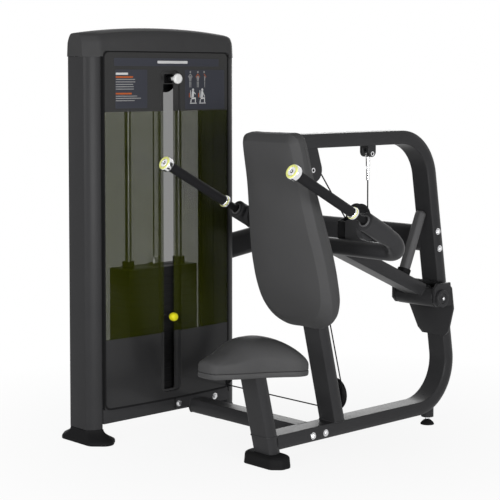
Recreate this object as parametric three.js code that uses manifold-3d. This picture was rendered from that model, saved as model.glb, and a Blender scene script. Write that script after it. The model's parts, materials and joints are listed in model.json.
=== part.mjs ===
// A seated dip machine: a weight-stack tower on the left, a bent tube frame with a seat and a
// backrest, and a press arm with two grips that lifts the stack through one cable.
// Millimetres, +Z up. The user faces -Y. The frame is first built about the seat's middle plane
// (x = 0) and the tower's middle (y = 0), and moved at the end so that the origin is on the floor
// under the middle of the whole machine.
import * as THREE from 'three';
import { mergeVertices } from 'three/addons/utils/BufferGeometryUtils.js';
import Module from 'manifold-3d';

const wasm = await Module();
wasm.setup();

// Shared clearances and fineness
const seatGap = 0.3;        // between two pieces that rest on each other
const runGap = 0.4;         // radial, between a turning piece and its pin
const overrun = 20;         // how far a cutting tool runs past what it cuts
const roundSides = 20;      // facets round a pulley, sleeve or grip
const fineSides = 16;       // facets round a rod, stem or pin
const bendSteps = 8;        // steps along one bend of a tube

// Frame tube, a flat oval
const tubeWidth = 92;
const tubeDepth = 50;
const tubeSideRise = 8;     // how far the bowed side stands out from the flat's edge
const beamAxisZ = 78;       // height of the base beams' axis
const postLean = THREE.MathUtils.degToRad(13.6);
const uprightLean = THREE.MathUtils.degToRad(8.8);

// Rear loop: base run, rear bend, upright, top bend, top run
const backPostTopZ = 1140;
const loopTopDrop = 32;     // from the backrest post's top down to the axis of the top run
const bendRadius = 170;     // on the tube's axis
const loopRearY = 694;      // where the base run ends and the rear bend begins
const loopTopZ = backPostTopZ - loopTopDrop;
const loopStartY = 84;      // joint with the front base beam

// Seat and backrest posts, by their axis
const seatPostY = -100;     // at postMeasureZ
const postMeasureZ = 175;
const seatPostTopZ = 328;    // on its axis, under the seat board
const backPostY = 237;      // at postMeasureZ
const seatFootWidth = 190;
const seatFootLength = 98;
const seatFootHeight = 42;
const seatFootCorner = 30;
const seatFootBevel = 20;

// Tower
const towerX = -693;        // middle of the tower, from the seat's middle plane
const towerHalfLength = 360;
const noseWidth = 91;
const noseChamferLength = 50;
const noseDepth = 56;       // from the nose's face to the upright's inner face
const uprightHalfDepth = 76;
const uprightInnerY = towerHalfLength - noseDepth;
const towerFootHeight = 50;
const footHalfWidth = 130;
const footOverhang = 12;
const footLength = 118;
const footCorner = 44;
const footLip = 3;          // how far the foot's collar stands out from the upright
const footEdge = 12;        // height of the foot's outer edge
const panelInset = 3;       // how far a panel ends short of the upright's inner face
const panelHalfLength = uprightInnerY - panelInset;
const panelEdgeDepth = 87;  // from the tower's middle to the panel's edge
const panelBow = 15;
const panelWall = 4;
const backingWall = 1.5;
const panelBottomZ = 121;
const panelTopZ = 1424;
const kickTopZ = 376;
const headerBottomZ = 1204;
const panelSegments = 12;
const plinthBottomZ = 69;
const plinthTopZ = 119;
const plinthHalfDepth = 82;
const crossbeamY = 136;
const crossbeamWidth = 76;
const crossPlate = 9;
const crossPlateLength = 210;
const crossPlateHeight = 44;
const coverBottomZ = 1404;
const coverEndZ = 1484;
const coverCrownZ = 1508;
const coverProud = 4;
const coverWall = 4;
const coverRound = 14;
const coverDome = 5;
const coverCutCorner = 3;

// Slot channel in the front panel
const channelWidth = 100;
const channelDepth = 16;
const channelWall = 3;
const channelCorner = 26;
const channelBottomZ = 147;
const channelTopZ = 1357;
const slotWidth = 50;
const slotBottomZ = 158;
const slotTopZ = 1342;
const slotCorner = 6;

// Weight stack
const plateLength = 330;
const plateDepth = 118;
const plateThickness = 27;
const plateGroove = 1.6;    // depth of the groove that shows where two resting plates meet
const restingPlateCount = 10;
const liftedPlateCount = 6;
const stackBottomZ = 150;
const headPlateThickness = 34;
const rodSpacing = 246;
const rodDiameter = 25;
const topBeamTopZ = 1396;
const rodSocket = 28;       // block in the top beam over each guide rod
const bufferHeight = 30;
const bufferDiameter = 56;
const bushingHeight = 26;
const bushingDiameter = 46;
const stemDiameter = 24;
const stemHeadHeight = 34;
const stemHeadWidth = 34;
const pinDiameter = 9.5;
const pinDepth = 96;
const pinKnobRadius = 16;
const pinKnobLength = 30;
const addKnobZ = 1324;
const addKnobRadius = 19;
const addKnobThickness = 16;
const addKnobReach = 46;
const addBlockWidth = 34;
const addBlockHeight = 40;
const addBlockDepth = 26;

// Pulleys and cable
const cableDiameter = 5;
const cableSides = 8;
const cableArcSteps = 12;   // steps of a cable round one pulley
const pulleyWidth = 24;
const pulleyRim = 6;        // how far a flange stands past the cable's axis
const pulleyPinDiameter = 12;
const pulleyWeb = 5;        // how far the web is set in from the hub's faces
const movablePulleyRadius = 50;
const upperPulleyRadius = 37;
const lowerPulleyRadius = 55;
const basePulleyRadius = 50;
const topPulleyRadius = 50;
const anchorY = 439;
const movablePulleyZ = 817;
const upperPulleyY = 136;
const upperPulleyDrop = 103;  // from the top run's axis
const upperPulleyZ = loopTopZ - upperPulleyDrop;
const lowerPulleyX = -42;
const lowerPulleyInset = 59;  // from the rear end of the tower
const lowerPulleyY = towerHalfLength - lowerPulleyInset;
const lowCableZ = 127;
const topPulleyZ = 1328;
const anchorBoltDrop = 56;  // from the top run's axis
const anchorBoltZ = loopTopZ - anchorBoltDrop;
const anchorEdge = 12;      // from the bolt's axis to the clevis's lower edge
const anchorBottomZ = anchorBoltZ - anchorEdge;
const anchorReach = 20;
const anchorHalfWidth = 17;
const anchorPlate = 5;
const fittingRadius = 8;
const fittingLength = 51;
const fittingShoulder = 2;  // height of the step under the fitting's head
const fittingReach = 98;    // from the bolt's axis down to the fitting's lower end
const turnbuckleBottomZ = anchorBoltZ - fittingReach;
const movableWebY = 300;
const movableWebLowZ = 752;
const movableWebTopZ = 815;
const movableCheekLowZ = 684;
const bracketPlate = 5;
const cheekGap = 2;         // between a pulley's face and the plate beside it

// Press arm
const pivotY = 730;
const pivotZ = 503;
const pivotSleeveDiameter = 72;
const pivotSleeveLength = 180;
const pivotShaftDiameter = 30;
const pivotCapDiameter = 66;
const pivotCapThickness = 14;
const beamRise = 18;        // how far the beam's axis passes above the shaft
const pivotCapRecess = 5;
const snapRing = 4;
const earGap = 4;
const earTopZ = 558;
const earCorner = 18;
const gussetCorner = 20;
const earPlate = 12;
const earHeight = 88;
const earReach = 34;        // past the shaft's axis, towards the user
const gussetPlate = 10;
const gussetMargin = 2;     // how far the gusset stands out past the ears
const pivotHalfLength = pivotSleeveLength / 2 + earGap + earPlate + gussetMargin;
const gussetTopZ = 556;
const gussetShoulderZ = 456;
const gussetBottomZ = 346;
const gussetBottomWidth = 130;
const crossTubeY = 270;
const crossTubeZ = 727;
const crossTubeDiameter = 60;
const handleX = 314;        // sideways distance of a grip's axis
const armBendRadius = 62;
const armElbowY = 215;      // where the arm turns into the line of its handle
const knuckleY = 132;       // middle of the knuckle's sleeve
const knuckleZ = 824;
const knuckleDiameter = 66;
const knuckleLength = 116;
const knuckleBushRadius = 21;
const knuckleBushReach = 8;
const rodSeat = 80;         // how deep the handle's rod sits in the knuckle
const clampSlotWidth = 12;
const clampSlotLength = 60;
const clampSlotDepth = 9;
const knuckleCheek = 14;
const knuckleCheekRadius = 44;
const handleTilt = THREE.MathUtils.degToRad(28);
const stemRodDiameter = 25;
const stemRodReach = 62;    // visible rod between the knuckle and the grip's collar
const gripLength = 290;
const gripDiameter = 34;
const collarDiameter = 44;
const collarLength = 14;
const capDiameter = 52;
const capLength = 24;
const capBevel = 4;
const edgeBevel = 2;        // broken edge of a turned piece

// Stop for the press arm
const stopTubeWidth = 42;
const stopTubeDepth = 34;
const stopTubeRise = 11;
const stopAlong = 114;      // along the beam, from its root to the stop's axis
const bumperHeight = 23;
const bumperWidth = 50;
const bumperDepth = 42;
const stopLength = 232;     // before it is cut to the upright

// Upper tie beam, from the loop's upright to the tower's rear upright
const tieHeight = 100;
const tieDepth = 50;
const tieSideRise = 18;
const tieZ = 714;           // its axis at the loop's upright
const tieBendRadius = 130;
const tieFall = 58;         // how far its forward leg comes down to the tower

// Seat cushion and board
const seatFrontY = -355;    // before the seat is tilted
const seatRearY = 6;
const seatNoseHalfWidth = 52;
const seatNoseRound = 28;   // how far back the nose's round corner reaches
const seatMiddleHalfWidth = 106;
const seatHalfWidth = 158;
const seatRearCorner = 60;
const seatTilt = THREE.MathUtils.degToRad(2.3);
const seatBoardThickness = 18;
const seatEdgeHeight = 44;  // of the shoulder, above the board, at the front
const seatEdgeRise = 26;    // how much higher the shoulder is at the middle
const seatRearFall = 14;    // and how much it drops again to the rear
const seatCrownHeight = 107;
const seatCrownY = -140;
const cushionDivisions = 30;
const boardEase = 5;        // how far the board's lower edge is drawn in
const cushionTuck = 5;      // how far a cushion's cover is drawn in where it meets the board
const cushionTuckRise = 6;

// Backrest cushion and board
const backBottomZ = 464;
const backTopZ = 1146;
const backTopHalfWidth = 141;
const backLowHalfWidth = 180;
const backThickness = 74;   // from the post to the front face's edge, low down
const backTopThickness = 60;
const backBoardThickness = 12;
const backBevel = 23;
const backCrown = 7;
const backBoardInset = 3;   // how far the board stays inside the cushion's outline
const backBoardEase = 5;    // how far its edge is drawn in at the back

// Rear levelling foot
const stubY = 784;
const stubDiameter = 48;
const stubBottomZ = 30;
const studDiameter = 12;
const levelDiscDiameter = 52;
const levelDiscHeight = 20;

// Materials
const paint = (colour, roughness = 0.42, metalness = 0.35) => ({ color: colour, roughness, metalness });
const framePaint = paint(0x35363a);
const coverPaint = paint(0x3a3a3c, 0.5, 0.1);
const rubber = paint(0x1c1c1e, 0.8, 0);
const gripRubber = paint(0x222224, 0.85, 0);
const upholstery = paint(0x3b3c3f, 0.55, 0);
const boardPaint = paint(0x2a2a2c, 0.6, 0);
const acrylic = { color: 0x5c604c, roughness: 0.08, metalness: 0, transparent: true, opacity: 0.45 };
const kickPaint = paint(0x3c3c3e, 0.5, 0);
const chrome = paint(0xd8d8da, 0.12, 1);
const castIron = paint(0x2c2c2e, 0.6, 0.4);
const nylon = paint(0x1a1a1b, 0.5, 0);
const yellow = paint(0xe8e020, 0.4, 0);
const whitePlastic = paint(0xe6e6e4, 0.35, 0);
const cableBlack = paint(0x151515, 0.5, 0);

// Solids, cuts and joins
function signedVolume(geometry) {
  const p = geometry.attributes.position;
  const at = (i) => new THREE.Vector3().fromBufferAttribute(p, geometry.index.getX(i));
  let sum = 0;
  for (let i = 0; i < geometry.index.count; i += 3) {
    sum += at(i).dot(at(i + 1).cross(at(i + 2)));
  }
  return sum / 6;
}

function closedMesh(source) {
  const bare = new THREE.BufferGeometry();
  bare.setAttribute('position', source.attributes.position.clone());
  if (source.index) bare.setIndex(source.index.clone());
  const merged = mergeVertices(bare, 1e-4);
  if (signedVolume(merged) < 0) {
    const index = merged.index.array;
    for (let i = 0; i < index.length; i += 3) {
      [index[i], index[i + 1]] = [index[i + 1], index[i]];
    }
  }
  return merged;
}

function toManifold(geometry) {
  const mesh = closedMesh(geometry);
  return new wasm.Manifold(new wasm.Mesh({
    numProp: 3,
    vertProperties: new Float32Array(mesh.attributes.position.array),
    triVerts: new Uint32Array(mesh.index.array),
  }));
}

function fromManifold(manifold) {
  const { vertProperties, triVerts } = manifold.getMesh();
  const geometry = new THREE.BufferGeometry();
  geometry.setAttribute('position', new THREE.BufferAttribute(new Float32Array(vertProperties), 3));
  geometry.setIndex(new THREE.BufferAttribute(new Uint32Array(triVerts), 1));
  return geometry;
}

function join(first, ...others) {
  return fromManifold(others.reduce((sum, g) => sum.add(toManifold(g)), toManifold(first)));
}

function cut(first, ...tools) {
  return fromManifold(tools.reduce((rest, g) => rest.subtract(toManifold(g)), toManifold(first)));
}

function common(first, second) {
  return fromManifold(toManifold(first).intersect(toManifold(second)));
}

const machine = new THREE.Group();

function add(name, geometry, look) {
  const whole = closedMesh(geometry).toNonIndexed();
  whole.computeVertexNormals();
  const mesh = new THREE.Mesh(whole, new THREE.MeshStandardMaterial(look));
  mesh.name = name;
  machine.add(mesh);
}

// Basic shapes, placed where they stand
function box(fromX, toX, fromY, toY, fromZ, toZ) {
  const geometry = new THREE.BoxGeometry(toX - fromX, toY - fromY, toZ - fromZ);
  return geometry.translate((fromX + toX) / 2, (fromY + toY) / 2, (fromZ + toZ) / 2);
}

// three.js makes its turned shapes about Y, so they are brought onto the wanted direction
function turnedTo(geometry, direction) {
  const turn = new THREE.Quaternion();
  turn.setFromUnitVectors(new THREE.Vector3(0, 1, 0), direction.clone().normalize());
  return geometry.applyQuaternion(turn);
}

// A rod between two points
function rod(from, to, radius, sides = fineSides) {
  const axis = new THREE.Vector3().subVectors(to, from);
  const middle = new THREE.Vector3().addVectors(from, to).multiplyScalar(0.5);
  return turnedTo(new THREE.CylinderGeometry(radius, radius, axis.length(), sides), axis)
    .translate(middle.x, middle.y, middle.z);
}

// A turned piece: its profile as [radius, distance] pairs, along an axis from a point
function turned(profile, from, direction, sides = roundSides) {
  const points = profile.map(([r, d]) => new THREE.Vector2(r, d));
  return turnedTo(new THREE.LatheGeometry(points, sides), direction).translate(from.x, from.y, from.z);
}

const vec = (x, y, z) => new THREE.Vector3(x, y, z);
const alongX = vec(1, 0, 0);
const alongY = vec(0, 1, 0);

// A flat oval section: two flats and two bowed sides, grown by a clearance where it cuts a neighbour
function flatOval(width, depth, rise, grow = 0) {
  const halfWidth = width / 2 + grow;
  const halfDepth = depth / 2 + grow;
  const radius = (halfDepth * halfDepth + rise * rise) / (2 * rise);
  const reach = Math.asin(halfDepth / radius);
  const shape = new THREE.Shape();
  shape.absarc(halfWidth - radius, 0, radius, -reach, reach, false);
  shape.absarc(radius - halfWidth, 0, radius, Math.PI - reach, Math.PI + reach, false);
  return shape;
}

function roundedRect(width, height, radius) {
  const x = width / 2 - radius;
  const y = height / 2 - radius;
  const shape = new THREE.Shape();
  shape.absarc(x, y, radius, 0, Math.PI / 2, false);
  shape.absarc(-x, y, radius, Math.PI / 2, Math.PI, false);
  shape.absarc(-x, -y, radius, Math.PI, 1.5 * Math.PI, false);
  shape.absarc(x, -y, radius, 1.5 * Math.PI, 2 * Math.PI, false);
  return shape;
}

function disc(radius) {
  return new THREE.Shape().absarc(0, 0, radius, 0, 2 * Math.PI, false);
}

// A path of straight runs and round bends through corner points. Each straight run is one step
// and each bend has its own steps, so that the facets lie where the tube curves. The section's
// x axis starts along the given side and turns with the path.
class BentPath extends THREE.Curve {
  constructor(corners, radius, side, steps = bendSteps) {
    super();
    this.side = side;
    this.pieces = [];
    let start = corners[0];
    for (let i = 1; i < corners.length - 1; i += 1) {
      const into = new THREE.Vector3().subVectors(corners[i], corners[i - 1]).normalize();
      const out = new THREE.Vector3().subVectors(corners[i + 1], corners[i]).normalize();
      const turn = into.angleTo(out);
      const reach = radius * Math.tan(turn / 2);
      const side = out.clone().addScaledVector(into, -into.dot(out)).normalize();
      const begin = corners[i].clone().addScaledVector(into, -reach);
      const centre = begin.clone().addScaledVector(side, radius);
      this.pieces.push({ steps: 1, start, end: begin });
      this.pieces.push({ steps, centre, into, side, radius, turn });
      start = corners[i].clone().addScaledVector(out, reach);
    }
    this.pieces.push({ steps: 1, start, end: corners[corners.length - 1] });
    this.steps = this.pieces.reduce((sum, piece) => sum + piece.steps, 0);
  }

  locate(u) {
    let step = u * this.steps;
    for (const piece of this.pieces) {
      if (step <= piece.steps || piece === this.pieces[this.pieces.length - 1]) {
        return { piece, share: Math.min(step / piece.steps, 1) };
      }
      step -= piece.steps;
    }
    return null;
  }

  getPointAt(u, target = new THREE.Vector3()) {
    const { piece, share } = this.locate(u);
    if (!piece.centre) return target.lerpVectors(piece.start, piece.end, share);
    const angle = piece.turn * share;
    return target.copy(piece.centre)
      .addScaledVector(piece.side, -piece.radius * Math.cos(angle))
      .addScaledVector(piece.into, piece.radius * Math.sin(angle));
  }

  getTangentAt(u, target = new THREE.Vector3()) {
    const { piece, share } = this.locate(u);
    if (!piece.centre) return target.subVectors(piece.end, piece.start).normalize();
    const angle = piece.turn * share;
    return target.set(0, 0, 0)
      .addScaledVector(piece.into, Math.cos(angle))
      .addScaledVector(piece.side, Math.sin(angle));
  }

  computeFrenetFrames(segments) {
    const tangents = [];
    const normals = [];
    for (let i = 0; i <= segments; i += 1) {
      const tangent = this.getTangentAt(i / segments);
      const before = i === 0 ? this.side : normals[i - 1];
      normals.push(before.clone().addScaledVector(tangent, -before.dot(tangent)).normalize());
      tangents.push(tangent);
    }
    const binormals = tangents.map((tangent, i) => tangent.clone().cross(normals[i]));
    return { tangents, normals, binormals };
  }
}

// A cable's path: straight runs between arcs round pulleys, given as finished pieces
class WrappedPath extends BentPath {
  constructor(pieces, side) {
    super([vec(0, 0, 0), vec(0, 0, 1)], 0, side);
    this.pieces = pieces;
    this.steps = pieces.reduce((sum, piece) => sum + piece.steps, 0);
  }
}

// The arc of a cable round a pulley: it comes in along one direction and turns towards the centre
function wrap(centre, radius, into, side, turn) {
  return { steps: cableArcSteps, centre, into, side, radius, turn };
}
const arcStart = (arc) => arc.centre.clone().addScaledVector(arc.side, -arc.radius);
const arcEnd = (arc) => arc.centre.clone()
  .addScaledVector(arc.side, -arc.radius * Math.cos(arc.turn))
  .addScaledVector(arc.into, arc.radius * Math.sin(arc.turn));
const run = (start, end) => ({ steps: 1, start, end });

function sweep(section, path, curveSegments = 2) {
  return new THREE.ExtrudeGeometry(section, { steps: path.steps, extrudePath: path, curveSegments });
}

// A plate whose outline lies in the Y-Z plane, from one x to another
function plateYZ(outline, fromX, toX, curveSegments = 4) {
  const look = { depth: toX - fromX, bevelEnabled: false, curveSegments };
  const geometry = new THREE.ExtrudeGeometry(outline, look);
  const place = new THREE.Matrix4().makeBasis(vec(0, 1, 0), vec(0, 0, 1), vec(1, 0, 0));
  return geometry.applyMatrix4(place).translate(fromX, 0, 0);
}

// A piece whose outline is in plan, raised from one z to another
function raised(outline, fromZ, toZ, curveSegments = 4) {
  const look = { depth: toZ - fromZ, bevelEnabled: false, curveSegments };
  return new THREE.ExtrudeGeometry(outline, look).translate(0, 0, fromZ);
}

function outlineOf(pairs) {
  return new THREE.Shape(pairs.map(([a, b]) => new THREE.Vector2(a, b)));
}

// A closed form through rings of equal count, with a fan over each end ring
function loft(rings) {
  const count = rings[0].length;
  const points = rings.flat();
  const index = [];
  for (let r = 0; r < rings.length - 1; r += 1) {
    for (let i = 0; i < count; i += 1) {
      const a = r * count + i;
      const b = r * count + ((i + 1) % count);
      index.push(a, b, b + count, a, b + count, a + count);
    }
  }
  const middle = (ring) => ring.reduce((sum, p) => sum.add(p), vec(0, 0, 0)).divideScalar(count);
  const first = points.push(middle(rings[0])) - 1;
  const last = points.push(middle(rings[rings.length - 1])) - 1;
  const base = (rings.length - 1) * count;
  for (let i = 0; i < count; i += 1) {
    const j = (i + 1) % count;
    index.push(first, j, i, last, base + i, base + j);
  }
  const geometry = new THREE.BufferGeometry().setFromPoints(points);
  geometry.setIndex(index);
  return geometry;
}

// Frame: posts, beams and the rear loop
const postSlope = Math.tan(postLean);
const seatPostAt = (z) => seatPostY - postSlope * (z - postMeasureZ);
const backPostAt = (z) => backPostY - postSlope * (z - postMeasureZ);
const postSideways = tubeDepth / 2 / Math.cos(postLean);
const beamTopZ = beamAxisZ + tubeDepth / 2;
const beamBottomZ = beamAxisZ - tubeDepth / 2;

function straightTube(from, to, grow = 0, width = tubeWidth, depth = tubeDepth, rise = tubeSideRise) {
  return sweep(flatOval(width, depth, rise, grow), new BentPath([from, to], 0, alongX));
}

function seatPostTube(grow) {
  const low = seatFootHeight - overrun;
  const high = seatPostTopZ + 2 * overrun;
  return straightTube(vec(0, seatPostAt(low), low), vec(0, seatPostAt(high), high), grow);
}

const farX = 2 * tubeWidth;
const seatPlane = box(-farX, farX, 4 * seatPostY, -4 * seatPostY, -2 * seatPostTopZ, 0).rotateX(-seatTilt)
  .translate(0, seatPostAt(seatPostTopZ), seatPostTopZ);
const seatPostSlab = box(-farX, farX, 4 * seatPostY, -4 * seatPostY,
  seatFootHeight + seatGap, 2 * seatPostTopZ);
add('seat_post', common(common(seatPostTube(0), seatPostSlab), seatPlane), framePaint);

const seatFootMiddleY = seatPostAt(seatFootHeight);
const footPlan = (width, length, corner) => outlineOf([
  [-width / 2 + corner, -length / 2], [width / 2 - corner, -length / 2],
  [width / 2, -length / 2 + corner], [width / 2, length / 2 - corner],
  [width / 2 - corner, length / 2], [-width / 2 + corner, length / 2],
  [-width / 2, length / 2 - corner], [-width / 2, -length / 2 + corner],
]);
function footRing(inset, z) {
  const plan = footPlan(seatFootWidth - 2 * inset, seatFootLength - 2 * inset, seatFootCorner - inset / 2);
  return plan.getPoints().slice(0, 8).map((p) => vec(p.x, seatFootMiddleY + p.y, z));
}
add('seat_post_foot', loft([
  footRing(0, 0),
  footRing(seatFootBevel / 8, seatFootHeight - seatFootBevel * 0.6),
  footRing(seatFootBevel, seatFootHeight),
]), rubber);

const frontBeam = straightTube(
  vec(0, seatPostAt(beamAxisZ), beamAxisZ),
  vec(0, loopStartY - seatGap, beamAxisZ),
);
add('front_base_beam', cut(frontBeam, seatPostTube(seatGap)), framePaint);

const loopCorner = (slopeY, z) => vec(0, slopeY, z);
const bendRise = bendRadius * Math.tan((Math.PI / 2 + uprightLean) / 2);
const rearCornerY = loopRearY + bendRise;
const uprightAt = (z) => rearCornerY - Math.tan(uprightLean) * (z - beamAxisZ);
const loopPath = new BentPath([
  vec(0, loopStartY, beamAxisZ),
  loopCorner(rearCornerY, beamAxisZ),
  loopCorner(uprightAt(loopTopZ), loopTopZ),
  vec(0, backPostAt(loopTopZ), loopTopZ),
], bendRadius, alongX);
const stub = rod(vec(0, stubY, stubBottomZ), vec(0, stubY, beamTopZ + tubeDepth), stubDiameter / 2);
const loopTube = sweep(flatOval(tubeWidth, tubeDepth, tubeSideRise), loopPath);

function backPostTube(grow) {
  const low = beamBottomZ;
  const high = backPostTopZ + overrun;
  return straightTube(vec(0, backPostAt(low), low), vec(0, backPostAt(high), high), grow);
}

add('loop_frame', cut(join(loopTube, stub), common(
  backPostTube(seatGap),
  box(-farX, farX, -farX, loopRearY, beamTopZ + tubeDepth, backPostTopZ + overrun),
)), framePaint);

// Backrest post, with the cheek plates of the upper and the lower pulley welded to it
const cheekInner = pulleyWidth / 2 + cheekGap;
const cheekRadius = upperPulleyRadius + pulleyRim + cheekGap;
const postTube = common(backPostTube(0), box(
  -farX, farX, -farX, loopRearY, beamTopZ + seatGap, backPostTopZ,
));
function upperCheek(fromX, toX) {
  const outline = new THREE.Shape();
  const topZ = loopTopZ - tubeDepth / 2 - seatGap;
  outline.moveTo(backPostAt(upperPulleyZ - cheekRadius), upperPulleyZ - cheekRadius);
  outline.absarc(upperPulleyY, upperPulleyZ, cheekRadius, -Math.PI / 2, 0.3, false);
  outline.lineTo(upperPulleyY + cheekRadius / 2, topZ);
  outline.lineTo(backPostAt(topZ), topZ);
  return plateYZ(outline, fromX, toX);
}
const upperPin = rod(vec(-cheekInner - bracketPlate, upperPulleyY, upperPulleyZ),
  vec(cheekInner + bracketPlate, upperPulleyY, upperPulleyZ), pulleyPinDiameter / 2);
const lowerPulleyZ = lowCableZ + lowerPulleyRadius;
const lowerArm = box(lowerPulleyX - pulleyPinDiameter, lowerPulleyX + pulleyPinDiameter,
  lowerPulleyY - cheekInner - bracketPlate, lowerPulleyY - cheekInner,
  lowerPulleyZ - pulleyPinDiameter, lowerPulleyZ + pulleyPinDiameter);
const lowerWeb = box(lowerPulleyX - pulleyPinDiameter, 0, backPostAt(lowerPulleyZ),
  lowerPulleyY - cheekInner, lowerPulleyZ - pulleyPinDiameter, lowerPulleyZ + pulleyPinDiameter);
const lowerPin = rod(vec(lowerPulleyX, lowerPulleyY - cheekInner - bracketPlate / 2, lowerPulleyZ),
  vec(lowerPulleyX, lowerPulleyY + pulleyWidth / 2 + cheekGap, lowerPulleyZ), pulleyPinDiameter / 2);
add('backrest_post', join(
  postTube,
  upperCheek(-cheekInner - bracketPlate, -cheekInner),
  upperCheek(cheekInner, cheekInner + bracketPlate),
  upperPin, lowerArm, lowerWeb, lowerPin,
), framePaint);

// Crossbeam from the base beam to the tower's plinth, with a bolted end plate at the tower
const plinthFaceX = towerX + plinthHalfDepth;
const crossTube = sweep(flatOval(crossbeamWidth, tubeDepth, tubeSideRise), new BentPath([
  vec(plinthFaceX + seatGap + crossPlate / 2, crossbeamY, beamAxisZ),
  vec(0, crossbeamY, beamAxisZ),
], 0, alongY));
const crossEnd = box(plinthFaceX + seatGap, plinthFaceX + seatGap + crossPlate,
  crossbeamY - crossPlateLength / 2, crossbeamY + crossPlateLength / 2,
  plinthTopZ - crossPlateHeight, plinthTopZ);
const basePath = new BentPath([vec(0, loopStartY, beamAxisZ), vec(0, loopRearY, beamAxisZ)], 0, alongX);
const baseRun = sweep(flatOval(tubeWidth, tubeDepth, tubeSideRise, seatGap), basePath);
add('crossbeam', cut(join(crossTube, crossEnd), baseRun), framePaint);

// Levelling foot under the loop's rear bend: a threaded stud on a rubber disc
add('levelling_foot', turned([
  [0, 0],
  [levelDiscDiameter / 2, 0],
  [levelDiscDiameter / 2, levelDiscHeight / 4],
  [levelDiscDiameter / 3, levelDiscHeight],
  [studDiameter / 2, levelDiscHeight],
  [studDiameter / 2, stubBottomZ - seatGap],
  [0, stubBottomZ - seatGap],
], vec(0, stubY, 0), vec(0, 0, 1)), rubber);

// Tower: feet, uprights, plinth and cover
const nosePlan = (side, grow) => {
  const shape = new THREE.Shape();
  const noseY = side * (towerHalfLength + grow);
  const chamferY = side * (towerHalfLength - noseChamferLength);
  const shoulder = uprightHalfDepth + grow;
  const noseX = noseWidth / 2 + grow / 2;
  const bulge = [shoulder - (shoulder - noseX) / 4, noseY - side * noseChamferLength / 4];
  shape.moveTo(-noseX, noseY);
  shape.lineTo(noseX, noseY);
  shape.quadraticCurveTo(bulge[0], bulge[1], shoulder, chamferY);
  shape.lineTo(shoulder, side * (uprightInnerY - grow));
  shape.lineTo(-shoulder, side * (uprightInnerY - grow));
  shape.lineTo(-shoulder, chamferY);
  shape.quadraticCurveTo(-bulge[0], bulge[1], -noseX, noseY);
  return shape;
};

function towerFoot(side) {
  const middleY = side * (towerHalfLength + footOverhang - footLength / 2);
  const low = footPlan(2 * footHalfWidth, footLength, footCorner).getPoints();
  const collarWidth = 2 * (uprightHalfDepth + footLip);
  const collarLength = towerHalfLength + footLip - uprightInnerY + footLip;
  const collarCorner = noseChamferLength - footLip;
  const collarY = side * (towerHalfLength + footLip - collarLength / 2);
  const half = collarLength / 2;
  const high = [
    [-noseWidth / 2, -half], [noseWidth / 2, -half],
    [collarWidth / 2, -half + Math.min(collarCorner, collarLength * 0.8)], [collarWidth / 2, half * 0.9],
    [collarWidth / 2 - footLip, half], [-collarWidth / 2 + footLip, half],
    [-collarWidth / 2, half * 0.9], [-collarWidth / 2, -half + Math.min(collarCorner, collarLength * 0.8)],
  ].map(([x, y]) => new THREE.Vector2(x, -side * y));
  const lowTurned = low.slice(0, 8).map((p) => new THREE.Vector2(p.x, -side * p.y));
  const edgeShare = footEdge / towerFootHeight;
  const rings = [[0, 0], [0.04, edgeShare]];
  for (let i = 1; i <= 4; i += 1) {
    const share = i / 4;
    rings.push([Math.sin(share * Math.PI / 2), edgeShare + (1 - edgeShare) * share]);
  }
  return loft(rings.map(([inward, rise]) => lowTurned.map((p, i) => vec(
    towerX + THREE.MathUtils.lerp(p.x, high[i].x, inward),
    THREE.MathUtils.lerp(middleY + p.y, collarY + high[i].y, inward),
    rise * towerFootHeight,
  ))));
}

// The base pulley and the rear top pulley reach into the rear upright, which is cut away round them
const basePulleyX = towerX + basePulleyRadius;
const basePulleyZ = lowCableZ + basePulleyRadius;
const basePulleyReach = basePulleyRadius + pulleyRim + cheekGap;
const pulleyPocket = box(basePulleyX - basePulleyReach, basePulleyX + 2 * basePulleyReach,
  lowerPulleyY - pulleyWidth / 2 - cheekGap, lowerPulleyY + pulleyWidth / 2 + cheekGap,
  plinthTopZ - seatGap, basePulleyZ + basePulleyReach);

const topPulleyReach = topPulleyRadius + pulleyRim + cheekGap;
const topPocket = box(towerX - pulleyWidth / 2 - cheekGap, towerX + pulleyWidth / 2 + cheekGap,
  lowerPulleyY - topPulleyRadius, lowerPulleyY + pulleyRim + cheekGap,
  topPulleyZ - topPulleyReach, topPulleyZ + topPulleyReach);

for (const [name, side] of [['front', -1], ['rear', 1]]) {
  add(`tower_foot_${name}`, towerFoot(side), rubber);
  const post = raised(nosePlan(side, 0), towerFootHeight + seatGap, coverBottomZ - seatGap);
  post.translate(towerX, 0, 0);
  add(`tower_upright_${name}`, side > 0 ? cut(post, pulleyPocket, topPocket) : post, framePaint);
}

const plinthEndY = uprightInnerY - seatGap;
const plinth = box(towerX - plinthHalfDepth, plinthFaceX, -plinthEndY, plinthEndY,
  plinthBottomZ, plinthTopZ);
const baseCheekY = lowerPulleyY - pulleyWidth / 2 - cheekGap;
const baseCheek = box(basePulleyX - 2 * pulleyPinDiameter, basePulleyX + 2 * pulleyPinDiameter,
  baseCheekY - bracketPlate, baseCheekY, plinthTopZ - bracketPlate, basePulleyZ + 1.5 * pulleyPinDiameter);
const basePin = rod(vec(basePulleyX, baseCheekY - bracketPlate / 2, basePulleyZ),
  vec(basePulleyX, lowerPulleyY + pulleyWidth / 2 + cheekGap / 2, basePulleyZ), pulleyPinDiameter / 2);
add('plinth_beam', join(plinth, baseCheek, basePin), framePaint);

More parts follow.
